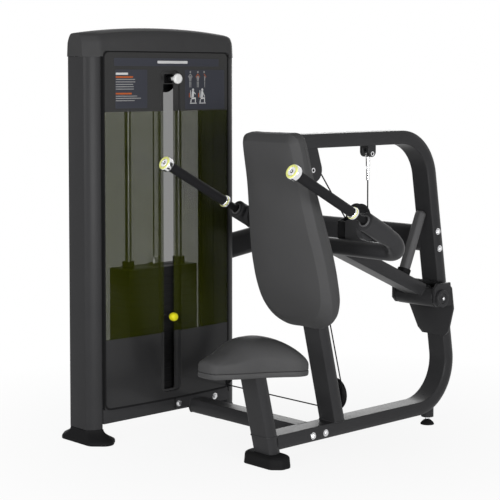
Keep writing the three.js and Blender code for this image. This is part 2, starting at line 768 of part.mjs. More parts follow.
// Top beam: an open channel from upright to upright, with the pins of the two top pulleys in it
// and a block over each guide rod
const topBeamInner = pulleyWidth / 2 + cheekGap;
const topBeamOuter = topBeamInner + bracketPlate;
const topBeamFloorZ = topPulleyZ - 2 * pulleyPinDiameter;
const topPulleyYs = [topPulleyRadius, lowerPulleyY - topPulleyRadius];
const topBeamPart = (fromX, toX, fromZ, toZ) => box(towerX + fromX, towerX + toX,
  -plinthEndY, plinthEndY, fromZ, toZ);
add('top_beam', join(
  topBeamPart(-topBeamOuter, -topBeamInner, topBeamFloorZ, topBeamTopZ),
  topBeamPart(topBeamInner, topBeamOuter, topBeamFloorZ, topBeamTopZ),
  topBeamPart(-topBeamOuter, topBeamOuter, topBeamTopZ - bracketPlate, topBeamTopZ),
  ...[-1, 1].map((side) => box(towerX - topBeamOuter, towerX + topBeamOuter,
    side * rodSpacing / 2 - rodSocket / 2, side * rodSpacing / 2 + rodSocket / 2,
    topBeamFloorZ, topBeamFloorZ + rodSocket)),
  ...topPulleyYs.map((y) => rod(vec(towerX - topBeamOuter, y, topPulleyZ),
    vec(towerX + topBeamOuter, y, topPulleyZ), pulleyPinDiameter / 2)),
), framePaint);

// The cover: an arched cap whose walls follow the bowed panels, with a window for the header
const bowAt = (y, halfLength, bow) => bow * (1 - (y / halfLength) ** 2);
function coverForm(inset) {
  const stations = 14;
  const halfLength = towerHalfLength + coverProud - inset;
  const rings = [];
  for (let i = 0; i <= stations; i += 1) {
    const share = -1 + (2 * i) / stations;
    const y = halfLength * Math.sin(share * Math.PI / 2);
    const crown = coverEndZ - inset + (coverCrownZ - coverEndZ) * (1 - (y / halfLength) ** 2);
    const pastShoulder = Math.max(0, Math.abs(y) - (towerHalfLength - noseChamferLength));
    const narrowing = (panelEdgeDepth - noseWidth / 2) * (pastShoulder / noseChamferLength) ** 1.5;
    const straight = panelEdgeDepth + coverProud - inset + bowAt(Math.min(Math.abs(y), panelHalfLength),
      panelHalfLength, panelBow);
    const half = Math.max(straight - narrowing, noseWidth / 2 - inset);
    const low = coverBottomZ - (inset > 0 ? overrun : 0);
    rings.push([
      vec(-half, y, low),
      vec(-half + coverRound / 4, y, crown - 2 * coverRound),
      vec(-half + coverRound, y, crown - coverRound / 2),
      vec(-half / 2, y, crown + coverDome / 2),
      vec(0, y, crown + coverDome),
      vec(half / 2, y, crown + coverDome / 2),
      vec(half - coverRound, y, crown - coverRound / 2),
      vec(half - coverRound / 4, y, crown - 2 * coverRound),
      vec(half, y, low),
    ]);
  }
  return loft(rings).translate(towerX, 0, 0);
}
const windowWidth = 2 * (panelHalfLength + seatGap + coverCutCorner);
const windowHeight = 2 * (panelTopZ + seatGap - coverBottomZ + coverCutCorner);
const coverWindow = plateYZ(roundedRect(windowWidth, windowHeight, coverCutCorner),
  towerX - 2 * panelEdgeDepth, towerX + 2 * panelEdgeDepth).translate(0, 0, coverBottomZ - coverCutCorner);
add('tower_top_cover', cut(coverForm(0), coverForm(coverWall), coverWindow), coverPaint);

// Bowed panels of the tower
function bowedPlan(halfLength, edgeDepth, bow, wall, side) {
  const outer = [];
  const inner = [];
  for (let i = 0; i <= panelSegments; i += 1) {
    const y = -halfLength + (2 * halfLength * i) / panelSegments;
    const x = edgeDepth + bowAt(y, panelHalfLength, bow);
    outer.push(new THREE.Vector2(side * x, y));
    inner.push(new THREE.Vector2(side * (x - wall), y));
  }
  return new THREE.Shape([...outer, ...inner.reverse()]);
}
function bowedPanel(depth, wall, side, fromZ, toZ) {
  const plan = bowedPlan(panelHalfLength, depth, panelBow, wall, side);
  return raised(plan, fromZ, toZ).translate(towerX, 0, 0);
}
const panelFrontX = towerX + panelEdgeDepth + panelBow;
function channelBlock(width, bottomZ, topZ, corner, fromX, toX) {
  const outline = roundedRect(width, topZ - bottomZ, corner);
  return plateYZ(outline, fromX, toX).translate(0, 0, (bottomZ + topZ) / 2);
}
const channelHole = channelBlock(channelWidth + 2 * seatGap,
  channelBottomZ - seatGap, channelTopZ + seatGap, channelCorner, towerX, panelFrontX + overrun);
const frontPanel = bowedPanel(panelEdgeDepth, panelWall, 1, panelBottomZ, panelTopZ);
add('front_panel', cut(frontPanel, channelHole, pulleyPocket), acrylic);
const backingDepth = panelEdgeDepth - panelWall - seatGap;
const kickPanel = bowedPanel(backingDepth, backingWall, 1, panelBottomZ, kickTopZ);
add('front_kick_panel', cut(kickPanel, channelHole, pulleyPocket), kickPaint);
const headerPanel = bowedPanel(backingDepth, backingWall, 1, headerBottomZ, panelTopZ);
add('front_header_panel', cut(headerPanel, channelHole), kickPaint);
add('rear_panel', bowedPanel(panelEdgeDepth, panelWall, -1, panelBottomZ, panelTopZ), acrylic);

// Slot channel: a shallow trough with the selector slot in its floor, and at the slot's head a
// block that guides the add-on knob's plunger
const channelFace = panelFrontX + seatGap;
const channelBack = channelFace - channelDepth;
const addBlockX = channelBack + channelWall;
const addKnobBore = rod(vec(addBlockX - addBlockDepth - overrun, 0, addKnobZ),
  vec(addBlockX + overrun, 0, addKnobZ), pinDiameter / 2 + runGap);
add('slot_channel', cut(
  join(
    cut(
      channelBlock(channelWidth, channelBottomZ, channelTopZ, channelCorner, channelBack, channelFace),
      channelBlock(channelWidth - 2 * channelWall, channelBottomZ + channelWall, channelTopZ - channelWall,
        channelCorner - channelWall, channelBack + channelWall, channelFace + overrun),
      channelBlock(slotWidth, slotBottomZ, slotTopZ, slotCorner, channelBack - overrun, channelFace),
    ),
    box(addBlockX - addBlockDepth, addBlockX, -addBlockWidth, addBlockWidth,
      addKnobZ - addBlockHeight / 2, addKnobZ + addBlockHeight / 2),
  ),
  addKnobBore,
), coverPaint);

// Weight stack on its two guide rods
const stackPlateCount = restingPlateCount + liftedPlateCount;
const plateTopAt = (count) => stackBottomZ + count * plateThickness;
const rodYs = [-rodSpacing / 2, rodSpacing / 2];
const standing = (y, fromZ, toZ, radius, sides) => rod(vec(towerX, y, fromZ), vec(towerX, y, toZ),
  radius, sides);
const rodHoles = (radius, fromZ, toZ) => rodYs.map((y) => standing(y, fromZ, toZ, radius));
const pinZ = plateTopAt(restingPlateCount) + plateThickness / 2;
const plateFaceX = towerX + plateDepth / 2;
const pinHole = (z) => rod(vec(plateFaceX - pinDepth - overrun / 2, 0, z), vec(plateFaceX + overrun, 0, z),
  pinDiameter / 2 + runGap);
const stemBore = (fromZ, toZ) => standing(0, fromZ, toZ, stemDiameter / 2 + runGap);
const rodClear = rodDiameter / 2 + runGap;

rodYs.forEach((y, i) => {
  const name = ['front', 'rear'][i];
  const guideRod = standing(y, plinthTopZ + seatGap, topBeamFloorZ - seatGap, rodDiameter / 2);
  add(`guide_rod_${name}`, guideRod, chrome);
  add(`stack_buffer_${name}`, cut(
    standing(y, plinthTopZ + seatGap, stackBottomZ - seatGap, bufferDiameter / 2, roundSides),
    standing(y, plinthBottomZ, stackBottomZ + overrun, rodClear),
  ), rubber);
});

function plateBlock(fromZ, toZ) {
  return box(towerX - plateDepth / 2, plateFaceX, -plateLength / 2, plateLength / 2, fromZ, toZ);
}
// Plates that always move together are one piece, with a groove where two of them meet
function plates(from, to, ...holes) {
  const fromZ = plateTopAt(from);
  const toZ = plateTopAt(to) - seatGap;
  const grooves = [];
  for (let i = from + 1; i < to; i += 1) {
    const z = plateTopAt(i);
    const half = plateGroove / 2;
    grooves.push(cut(
      box(towerX - plateDepth, towerX + plateDepth, -plateLength, plateLength, z - half, z + half),
      box(towerX - plateDepth / 2 + plateGroove, plateFaceX - plateGroove,
        -plateLength / 2 + plateGroove, plateLength / 2 - plateGroove, z - plateGroove, z + plateGroove),
    ));
  }
  return cut(plateBlock(fromZ, toZ), ...grooves, ...rodHoles(rodClear, fromZ - overrun, toZ + overrun),
    stemBore(fromZ - overrun, toZ + overrun), ...holes);
}
add('resting_plates', plates(0, restingPlateCount), castIron);
add('pinned_plate', plates(restingPlateCount, restingPlateCount + 1, pinHole(pinZ)), castIron);
add('upper_plates', plates(restingPlateCount + 1, stackPlateCount), castIron);

const headFromZ = plateTopAt(stackPlateCount);
const headToZ = headFromZ + headPlateThickness;
const bushings = rodYs.map((y) => standing(y, headToZ - seatGap, headToZ + bushingHeight,
  bushingDiameter / 2, roundSides));
add('head_plate', cut(
  join(plateBlock(headFromZ, headToZ), ...bushings),
  ...rodHoles(rodClear, headFromZ - overrun, headToZ + bushingHeight + overrun),
  stemBore(headFromZ - overrun, headToZ + overrun),
), castIron);

const stemLowZ = plateTopAt(1);
const stemHoles = [];
for (let i = 1; i <= restingPlateCount; i += 1) stemHoles.push(plateTopAt(i) + plateThickness / 2);
const stemHeadTopZ = headToZ + seatGap + stemHeadHeight;
const stemCrossHole = (z) => rod(vec(towerX - stemDiameter, 0, z), vec(towerX + stemDiameter, 0, z),
  pinDiameter / 2 + runGap, fineSides / 2);
add('selector_stem', cut(
  join(
    standing(0, stemLowZ, headToZ + 2 * seatGap, stemDiameter / 2),
    box(towerX - stemHeadWidth / 2, towerX + stemHeadWidth / 2, -stemHeadWidth / 2, stemHeadWidth / 2,
      headToZ + seatGap, stemHeadTopZ),
  ),
  ...stemHoles.map(stemCrossHole),
), chrome);

const pinInnerX = plateFaceX - pinDepth;
const pinKnobX = panelFrontX - channelDepth + pinKnobLength / 2;
add('selector_pin', turned([
  [0, 0],
  [pinDiameter / 2, 0],
  [pinDiameter / 2, pinKnobX - pinInnerX],
  [pinKnobRadius * 0.62, pinKnobX - pinInnerX],
  [pinKnobRadius, pinKnobX - pinInnerX + pinKnobLength * 0.3],
  [pinKnobRadius, pinKnobX - pinInnerX + pinKnobLength * 0.75],
  [pinKnobRadius * 0.7, pinKnobX - pinInnerX + pinKnobLength],
  [0, pinKnobX - pinInnerX + pinKnobLength],
], vec(pinInnerX, 0, pinZ), alongX, fineSides), yellow);

// Add-on weight knob at the head of the slot, on a plunger in the block behind the channel
const addPlungerRadius = pinDiameter / 2;
const addKnobStart = addBlockX + addKnobReach;
const addPlungerLength = addBlockDepth + addKnobReach;
add('addon_knob', turned([
  [0, 0],
  [addPlungerRadius, 0],
  [addPlungerRadius, addPlungerLength],
  [addKnobRadius * 0.8, addPlungerLength],
  [addKnobRadius, addPlungerLength + addKnobThickness * 0.35],
  [addKnobRadius * 0.92, addPlungerLength + addKnobThickness * 0.8],
  [addKnobRadius * 0.5, addPlungerLength + addKnobThickness],
  [0, addPlungerLength + addKnobThickness],
], vec(addKnobStart - addPlungerLength, 0, addKnobZ), alongX), whitePlastic);

// Grooved pulleys on plain pins
function pulley(radius, centre, axis) {
  const half = pulleyWidth / 2;
  const rim = radius + pulleyRim;
  const floor = radius - cableDiameter / 2 - 2 * seatGap;
  const bore = pulleyPinDiameter / 2 + runGap;
  const hub = bore + pulleyPinDiameter / 2;
  const web = half - pulleyWeb;
  return turned([
    [bore, -half], [hub, -half], [hub + pulleyWeb / 2, -web], [floor - pulleyWeb, -web], [floor, -half],
    [rim, -half], [floor, -cableDiameter / 2], [floor, cableDiameter / 2], [rim, half],
    [floor, half], [floor - pulleyWeb, web], [hub + pulleyWeb / 2, web], [hub, half], [bore, half],
    [bore, -half],
  ], centre, axis);
}
const movablePulleyY = anchorY - movablePulleyRadius;
const [topPulleyMiddleY, topPulleyRearY] = topPulleyYs;
const movableCentre = vec(0, movablePulleyY, movablePulleyZ);
const upperCentre = vec(0, upperPulleyY, upperPulleyZ);
const lowerCentre = vec(lowerPulleyX, lowerPulleyY, lowerPulleyZ);
const baseCentre = vec(basePulleyX, lowerPulleyY, basePulleyZ);
const topRearCentre = vec(towerX, topPulleyRearY, topPulleyZ);
const topMiddleCentre = vec(towerX, topPulleyMiddleY, topPulleyZ);
add('movable_pulley', pulley(movablePulleyRadius, movableCentre, alongX), nylon);
add('upper_pulley', pulley(upperPulleyRadius, upperCentre, alongX), nylon);
add('lower_pulley', pulley(lowerPulleyRadius, lowerCentre, alongY), nylon);
add('tower_base_pulley', pulley(basePulleyRadius, baseCentre, alongY), nylon);
add('tower_top_pulley_rear', pulley(topPulleyRadius, topRearCentre, alongX), nylon);
add('tower_top_pulley_middle', pulley(topPulleyRadius, topMiddleCentre, alongX), nylon);

// Cable: from the anchor round the movable pulley to the upper pulley, down and across to the tower
const planeDir = (angle) => vec(0, Math.cos(angle), Math.sin(angle));
const between = new THREE.Vector3().subVectors(upperCentre, movableCentre);
const crossAngle = Math.asin((movablePulleyRadius + upperPulleyRadius) / between.length());
const frontAngle = Math.atan2(between.z, between.y) - crossAngle;
const quarter = Math.PI / 2;
const movableArc = wrap(movableCentre, movablePulleyRadius, vec(0, 0, -1), vec(0, -1, 0),
  quarter + Math.PI - frontAngle);
const dropAngle = Math.atan2(upperPulleyZ - lowerPulleyZ, upperPulleyY - upperPulleyRadius - lowerPulleyY);
const upperTurn = dropAngle + Math.PI - frontAngle;
const upperArc = wrap(upperCentre, upperPulleyRadius,
  planeDir(frontAngle), planeDir(frontAngle + quarter), upperTurn);
const lowerArc = wrap(lowerCentre, lowerPulleyRadius, vec(0, 0, -1), vec(-1, 0, 0), quarter);
const baseArc = wrap(baseCentre, basePulleyRadius, vec(-1, 0, 0), vec(0, 0, 1), quarter);
const topRearArc = wrap(topRearCentre, topPulleyRadius, vec(0, 0, 1), vec(0, -1, 0), quarter);
const topMiddleArc = wrap(topMiddleCentre, topPulleyRadius, vec(0, -1, 0), vec(0, 0, -1), quarter);
const cableSection = new THREE.Shape(disc(cableDiameter / 2).getPoints(cableSides / 4).slice(0, -1));
const cable = (pieces, side) => sweep(cableSection, new WrappedPath(pieces, side), 1);
const anchorEnd = vec(0, anchorY, turnbuckleBottomZ - seatGap);

add('cable_front', cable([
  run(anchorEnd, arcStart(movableArc)),
  movableArc,
  run(arcEnd(movableArc), arcStart(upperArc)),
], alongX), cableBlack);
// It begins one clearance past the front cable's end
const fixedStart = (gaps) => arcStart(upperArc).addScaledVector(upperArc.into, gaps * seatGap);
add('cable_fixed', cable([
  run(fixedStart(1), fixedStart(2)),
  upperArc,
  run(arcEnd(upperArc), arcStart(lowerArc)),
  lowerArc,
  run(arcEnd(lowerArc), arcStart(baseArc)),
  baseArc,
  run(arcEnd(baseArc), arcStart(topRearArc)),
  topRearArc,
  run(arcEnd(topRearArc), arcStart(topMiddleArc)),
  topMiddleArc,
], alongX), cableBlack);
add('cable_stack', cable([
  run(vec(towerX, 0, topPulleyZ - seatGap), vec(towerX, 0, stemHeadTopZ + seatGap)),
], alongX), cableBlack);

// Anchor: a clevis under the top tube, and the cable's end fitting on its bolt
const loopTopUnder = loopTopZ - tubeDepth / 2;
add('anchor_clevis', join(
  box(-anchorHalfWidth, anchorHalfWidth, anchorY - anchorReach, anchorY + anchorReach,
    loopTopUnder - seatGap - anchorPlate, loopTopUnder - seatGap),
  box(-anchorHalfWidth, -anchorHalfWidth + anchorPlate, anchorY - anchorReach, anchorY + anchorReach,
    anchorBottomZ, loopTopUnder - anchorPlate),
  box(anchorHalfWidth - anchorPlate, anchorHalfWidth, anchorY - anchorReach, anchorY + anchorReach,
    anchorBottomZ, loopTopUnder - anchorPlate),
  rod(vec(-anchorHalfWidth - anchorPlate, anchorY, anchorBoltZ),
    vec(anchorHalfWidth + anchorPlate, anchorY, anchorBoltZ), pulleyPinDiameter / 2),
), framePaint);
const fittingHeadTop = fittingReach - fittingRadius;
add('cable_end_fitting', cut(
  join(
    rod(vec(-fittingRadius, anchorY, anchorBoltZ), vec(fittingRadius, anchorY, anchorBoltZ),
      1.5 * fittingRadius, roundSides),
    turned([
      [0, 0], [fittingRadius * 0.6, 0], [fittingRadius * 0.8, fittingRadius * 0.4],
      [fittingRadius * 0.8, fittingLength - fittingRadius],
      [fittingRadius * 0.5, fittingLength - fittingRadius * 0.8], [fittingRadius * 0.5, fittingLength],
      [fittingRadius, fittingLength + fittingShoulder], [fittingRadius, fittingHeadTop], [0, fittingHeadTop],
    ], vec(0, anchorY, turnbuckleBottomZ), vec(0, 0, 1), fineSides),
  ),
  rod(vec(-anchorHalfWidth, anchorY, anchorBoltZ), vec(anchorHalfWidth, anchorY, anchorBoltZ),
    pulleyPinDiameter / 2 + runGap),
), chrome);

// Press arm: a beam on the pivot's sleeve, and the bent tube that carries the two handles
const pivotAt = (x) => vec(x, pivotY, pivotZ);
const beamRoot = vec(0, pivotY, pivotZ + beamRise);
const crossCentre = vec(0, crossTubeY, crossTubeZ);
const beamDir = new THREE.Vector3().subVectors(crossCentre, beamRoot).normalize();
const beamUp = vec(0, beamDir.z, -beamDir.y);
const beamPoint = (along, up) => beamRoot.clone().addScaledVector(beamDir, along).addScaledVector(beamUp, up);
const crossRadius = crossTubeDiameter / 2;
const farSide = handleX + tubeWidth;
const sleeve = rod(pivotAt(-pivotSleeveLength / 2), pivotAt(pivotSleeveLength / 2),
  pivotSleeveDiameter / 2, roundSides);
const beamPath = new BentPath([beamRoot, crossCentre], 0, alongX);
const beamTube = sweep(flatOval(tubeWidth, tubeDepth, tubeSideRise), beamPath);
const movableCheekOutline = new THREE.Shape();
movableCheekOutline.moveTo(movableWebY, crossTubeZ);
movableCheekOutline.lineTo(movableWebY, movableWebTopZ);
movableCheekOutline.absarc(movablePulleyY, movablePulleyZ, 2 * pulleyPinDiameter, 0.75 * Math.PI, 0, true);
movableCheekOutline.lineTo(movablePulleyY + 2 * pulleyPinDiameter, movableCheekLowZ);
movableCheekOutline.lineTo(movablePulleyY - pulleyPinDiameter, movableCheekLowZ);
const movableCheek = (fromX) => plateYZ(movableCheekOutline, fromX, fromX + bracketPlate);
const movableWeb = box(-cheekInner - bracketPlate / 2, cheekInner + bracketPlate / 2,
  movableWebY, movableWebY + bracketPlate, movableWebLowZ, movableWebTopZ);
const movablePin = rod(vec(-cheekInner - 2 * bracketPlate, movablePulleyY, movablePulleyZ),
  vec(cheekInner + 2 * bracketPlate, movablePulleyY, movablePulleyZ), pulleyPinDiameter / 2);
const crossClear = rod(vec(-farSide, crossTubeY, crossTubeZ), vec(farSide, crossTubeY, crossTubeZ),
  (crossRadius + seatGap) / Math.cos(Math.PI / roundSides), roundSides);
add('press_beam', cut(
  join(beamTube, sleeve, movableCheek(-cheekInner - bracketPlate), movableCheek(cheekInner),
    movableWeb, movablePin),
  rod(pivotAt(-pivotSleeveLength), pivotAt(pivotSleeveLength), pivotShaftDiameter / 2 + runGap, roundSides),
  crossClear,
), framePaint);

const handleDir = vec(0, -Math.cos(handleTilt), Math.sin(handleTilt));
const knuckleCentre = (side) => vec(side * handleX, knuckleY, knuckleZ);
const onHandle = (side, along) => knuckleCentre(side).addScaledVector(handleDir, along);
const elbowBack = (knuckleY - armElbowY) / Math.cos(handleTilt);
const armCorners = (side) => [
  onHandle(side, -knuckleLength / 2 - seatGap),
  onHandle(side, elbowBack),
  vec(side * handleX, crossTubeY, crossTubeZ),
];
const armPath = new BentPath([...armCorners(-1), ...armCorners(1).reverse()], armBendRadius, alongX);
const armSection = new THREE.Shape(disc(crossRadius).getPoints(fineSides / 4).slice(0, -1));
add('arm_frame', sweep(armSection, armPath, 1), framePaint);

const knuckleRadius = knuckleDiameter / 2;
for (const [name, side] of [['left', -1], ['right', 1]]) {
  const sleeveBody = turned([
    [0, 0], [knuckleRadius - edgeBevel, 0], [knuckleRadius, edgeBevel],
    [knuckleRadius, knuckleLength - edgeBevel], [knuckleRadius - edgeBevel, knuckleLength],
    [knuckleBushRadius, knuckleLength],
    [knuckleBushRadius, knuckleLength + knuckleBushReach], [0, knuckleLength + knuckleBushReach],
  ], onHandle(side, -knuckleLength / 2), handleDir);
  const cheekX = side * (handleX - knuckleRadius + knuckleCheek / 2);
  const cheekDisc = rod(vec(cheekX - side * knuckleCheek * 1.5, knuckleY, knuckleZ),
    vec(cheekX, knuckleY, knuckleZ), knuckleCheekRadius, roundSides);
  const rodBore = rod(onHandle(side, knuckleLength / 2 - rodSeat), onHandle(side, knuckleLength),
    stemRodDiameter / 2 + seatGap, roundSides);
  const slotMiddle = onHandle(side, 0).add(vec(0, 0, knuckleRadius));
  const clampSlot = box(slotMiddle.x - clampSlotWidth / 2, slotMiddle.x + clampSlotWidth / 2,
    -clampSlotLength / 2, clampSlotLength / 2, -clampSlotDepth, overrun);
  clampSlot.translate(-slotMiddle.x, 0, 0).rotateX(-handleTilt);
  clampSlot.translate(slotMiddle.x, slotMiddle.y, slotMiddle.z);
  add(`knuckle_${name}`, cut(join(sleeveBody, cheekDisc), rodBore, clampSlot), framePaint);

  const barStart = knuckleLength / 2 - rodSeat + seatGap;
  const collarStart = knuckleLength / 2 + stemRodReach - barStart;
  const collarEnd = collarStart + collarLength;
  const capStart = collarEnd + gripLength;
  const rodRadius = stemRodDiameter / 2;
  const collarRadius = collarDiameter / 2;
  const handleCapRadius = capDiameter / 2;
  add(`handle_bar_${name}`, turned([
    [0, 0], [rodRadius, 0], [rodRadius, collarStart], [collarRadius - edgeBevel, collarStart],
    [collarRadius, collarStart + edgeBevel], [collarRadius, collarEnd - edgeBevel],
    [collarRadius - edgeBevel, collarEnd], [rodRadius, collarEnd],
    [rodRadius, capStart], [handleCapRadius - edgeBevel, capStart], [handleCapRadius, capStart + edgeBevel],
    [handleCapRadius, capStart + capLength * 0.7], [handleCapRadius - capBevel, capStart + capLength],
    [0, capStart + capLength],
  ], onHandle(side, barStart), handleDir), chrome);
  const gripFrom = barStart + collarEnd + seatGap;
  const gripTo = barStart + capStart - seatGap;
  add(`grip_${name}`, cut(
    rod(onHandle(side, gripFrom), onHandle(side, gripTo), gripDiameter / 2, roundSides),
    rod(onHandle(side, gripFrom - overrun), onHandle(side, gripTo + overrun),
      rodRadius + seatGap, roundSides),
  ), gripRubber);
}

// Pivot bracket on the upright, with its two ears, and the shaft with its end caps
const uprightUp = vec(0, -Math.sin(uprightLean), Math.cos(uprightLean));
const uprightFront = vec(0, -Math.cos(uprightLean), -Math.sin(uprightLean));
const uprightFrame = new THREE.Matrix4().makeBasis(alongX, uprightUp, uprightFront);
const uprightFaceY = (z) => uprightAt(z) - tubeDepth / 2 / Math.cos(uprightLean);
const gussetOrigin = vec(0, uprightFaceY(gussetTopZ), gussetTopZ);
const gussetDrop = (z) => (z - gussetTopZ) / Math.cos(uprightLean);
const gussetOutline = outlineOf([
  [-pivotHalfLength + gussetCorner, 0], [pivotHalfLength - gussetCorner, 0],
  [pivotHalfLength, -gussetCorner], [pivotHalfLength, gussetDrop(gussetShoulderZ)],
  [gussetBottomWidth / 2 + gussetCorner / 2, gussetDrop(gussetBottomZ + gussetCorner)],
  [gussetBottomWidth / 2 - gussetCorner / 2, gussetDrop(gussetBottomZ)],
  [-gussetBottomWidth / 2 + gussetCorner / 2, gussetDrop(gussetBottomZ)],
  [-gussetBottomWidth / 2 - gussetCorner / 2, gussetDrop(gussetBottomZ + gussetCorner)],
  [-pivotHalfLength, gussetDrop(gussetShoulderZ)], [-pivotHalfLength, -gussetCorner],
]);
const gusset = new THREE.ExtrudeGeometry(gussetOutline, { depth: gussetPlate, bevelEnabled: false });
gusset.translate(0, 0, seatGap).applyMatrix4(uprightFrame);
gusset.translate(gussetOrigin.x, gussetOrigin.y, gussetOrigin.z);
const earRootY = (z) => uprightFaceY(z) - gussetPlate / 2;
const earOutline = new THREE.Shape();
earOutline.moveTo(earRootY(earTopZ), earTopZ);
earOutline.lineTo(pivotY - earReach + earCorner, earTopZ);
earOutline.lineTo(pivotY - earReach, earTopZ - earCorner);
earOutline.lineTo(pivotY - earReach, earTopZ - earHeight + earCorner);
earOutline.lineTo(pivotY - earReach + earCorner, earTopZ - earHeight);
earOutline.lineTo(earRootY(earTopZ - earHeight), earTopZ - earHeight);
const earInner = pivotSleeveLength / 2 + earGap;
const earOuter = earInner + earPlate;
add('pivot_bracket', cut(
  join(gusset, plateYZ(earOutline, earInner, earOuter), plateYZ(earOutline, -earOuter, -earInner)),
  rod(pivotAt(-pivotSleeveLength), pivotAt(pivotSleeveLength), pivotShaftDiameter / 2 + seatGap, roundSides),
), framePaint);
const shaftRadius = pivotShaftDiameter / 2;
const capFace = earOuter + seatGap;
const capRadius = pivotCapDiameter / 2;
const capEnd = capFace + pivotCapThickness;
add('pivot_shaft', turned([
  [0, -capFace - snapRing], [shaftRadius + snapRing, -capFace - snapRing],
  [shaftRadius + snapRing, -capFace], [shaftRadius, -capFace],
  [shaftRadius, capFace], [capRadius, capFace], [capRadius, capEnd - edgeBevel],
  [capRadius - edgeBevel, capEnd],
  [capRadius * 0.6, capEnd], [capRadius * 0.55, capEnd - pivotCapRecess], [0, capEnd - pivotCapRecess],
], pivotAt(0), alongX), framePaint);

// Stop: a tube from the upright with a bumper that the beam rests against
const loopClear = sweep(flatOval(tubeWidth, tubeDepth, tubeSideRise, seatGap), loopPath);
const bumperFrom = tubeDepth / 2 + seatGap;
const stopFrom = bumperFrom + bumperHeight + seatGap;
const stopTube = sweep(flatOval(stopTubeWidth, stopTubeDepth, stopTubeRise),
  new BentPath([beamPoint(stopAlong, stopFrom), beamPoint(stopAlong, stopFrom + stopLength)], 0, alongX));
add('stop_tube', cut(stopTube, loopClear), framePaint);
const bumperPath = new BentPath([
  beamPoint(stopAlong, bumperFrom),
  beamPoint(stopAlong, bumperFrom + bumperHeight),
], 0, alongX);
add('stop_bumper', sweep(flatOval(bumperWidth, bumperDepth, stopTubeRise), bumperPath), rubber);

// Upper tie beam from the loop's upright to the tower
const tieY = uprightAt(tieZ);
const alongZ = vec(0, 0, 1);
const tieEndY = towerHalfLength + seatGap;
const tieSlope = tieFall / (tieY - towerHalfLength);
const tieTube = sweep(flatOval(tieHeight, tieDepth, tieSideRise), new BentPath([
  vec(0, tieY, tieZ),
  vec(towerX, tieY, tieZ),
  vec(towerX, towerHalfLength - overrun, tieZ - tieSlope * (tieY - towerHalfLength + overrun)),
], tieBendRadius, alongZ));
const tieBounds = box(2 * towerX, -tubeWidth / 2 + tubeSideRise,
  tieEndY, rearCornerY + tubeWidth, 0, backPostTopZ);
add('upper_tie_beam', cut(common(tieTube, tieBounds), loopClear), framePaint);

// A cushion or a board: its outline drawn in by a share at each height
function insetOutline(points, amountAt) {
  return points.map((p, i) => {
    const before = points[(i + points.length - 1) % points.length];
    const after = points[(i + 1) % points.length];
    const along = new THREE.Vector2().subVectors(after, before).normalize();
    const amount = amountAt(p);
    return new THREE.Vector2(p.x - along.y * amount, p.y + along.x * amount);
  });
}
// A closed smooth outline through half its points, mirrored, counter-clockwise from the low end
function mirroredOutline(half, divisions) {
  const right = new THREE.CatmullRomCurve3(half.map(([x, y]) => vec(x, y, 0)), false, 'centripetal');
  const points = right.getSpacedPoints(divisions).map((p) => new THREE.Vector2(Math.max(p.x, 0), p.y));
  points[0].x = 0;
  points[divisions].x = 0;
  const left = points.slice(1, -1).reverse().map((p) => new THREE.Vector2(-p.x, p.y));
  return [...points, ...left];
}

// Seat
const seatMiddleY = (seatFrontY + seatRearY) / 2;
const seatHalf = [
  [0, seatFrontY], [seatNoseHalfWidth * 0.5, seatFrontY + seatNoseRound * 0.07],
  [seatNoseHalfWidth * 0.85, seatFrontY + seatNoseRound * 0.36],
  [seatNoseHalfWidth, seatFrontY + seatNoseRound],
  [(seatNoseHalfWidth + seatMiddleHalfWidth) / 2, THREE.MathUtils.lerp(seatFrontY, seatMiddleY, 0.5)],
  [seatMiddleHalfWidth, seatMiddleY],
  [(seatMiddleHalfWidth + seatHalfWidth) / 2, (seatRearY - seatRearCorner + seatMiddleY) / 2],
  [seatHalfWidth, seatRearY - seatRearCorner], [seatHalfWidth * 0.95, seatRearY - seatRearCorner * 0.4],
  [seatHalfWidth - seatRearCorner, seatRearY], [0, seatRearY],
];
const seatOutline = mirroredOutline(seatHalf, cushionDivisions);
const seatAxisY = seatPostAt(seatPostTopZ);
const tilted = (geometry) => geometry.translate(0, -seatAxisY, 0).rotateX(-seatTilt)
  .translate(0, seatAxisY, seatPostTopZ + seatGap);
const seatBoardToZ = seatBoardThickness;
const seatRing = (inset, z) => insetOutline(seatOutline, () => inset).map((p) => vec(p.x, p.y, z));
add('seat_board', tilted(loft([
  seatRing(boardEase, 0), seatRing(boardEase * 0.2, boardEase * 0.8), seatRing(0, seatBoardToZ),
])), boardPaint);
const seatCushionZ = seatBoardToZ + seatGap;
const smooth = (t) => THREE.MathUtils.smoothstep(t, 0, 1);
const seatShoulder = (y) => seatEdgeHeight
  + seatEdgeRise * smooth((y - seatFrontY) / (seatMiddleY - seatFrontY))
  - seatRearFall * smooth((y - seatMiddleY) / (seatRearY - seatMiddleY));
function seatTopRing(share, lift) {
  return seatOutline.map((p) => vec(
    p.x * share,
    seatCrownY + (p.y - seatCrownY) * share,
    seatCushionZ + THREE.MathUtils.lerp(seatCrownHeight, seatShoulder(p.y), lift),
  ));
}
add('seat_cushion', tilted(loft([
  seatRing(cushionTuck, seatCushionZ), seatRing(0, seatCushionZ + cushionTuckRise),
  seatOutline.map((p) => vec(p.x, p.y, seatCushionZ + 0.45 * seatShoulder(p.y))),
  seatOutline.map((p) => vec(p.x * 0.995, p.y, seatCushionZ + 0.78 * seatShoulder(p.y))),
  seatTopRing(0.97, 1), seatTopRing(0.9, 0.82), seatTopRing(0.76, 0.5), seatTopRing(0.55, 0.24),
  seatTopRing(0.3, 0.07), seatTopRing(0.12, 0.01),
])), upholstery);

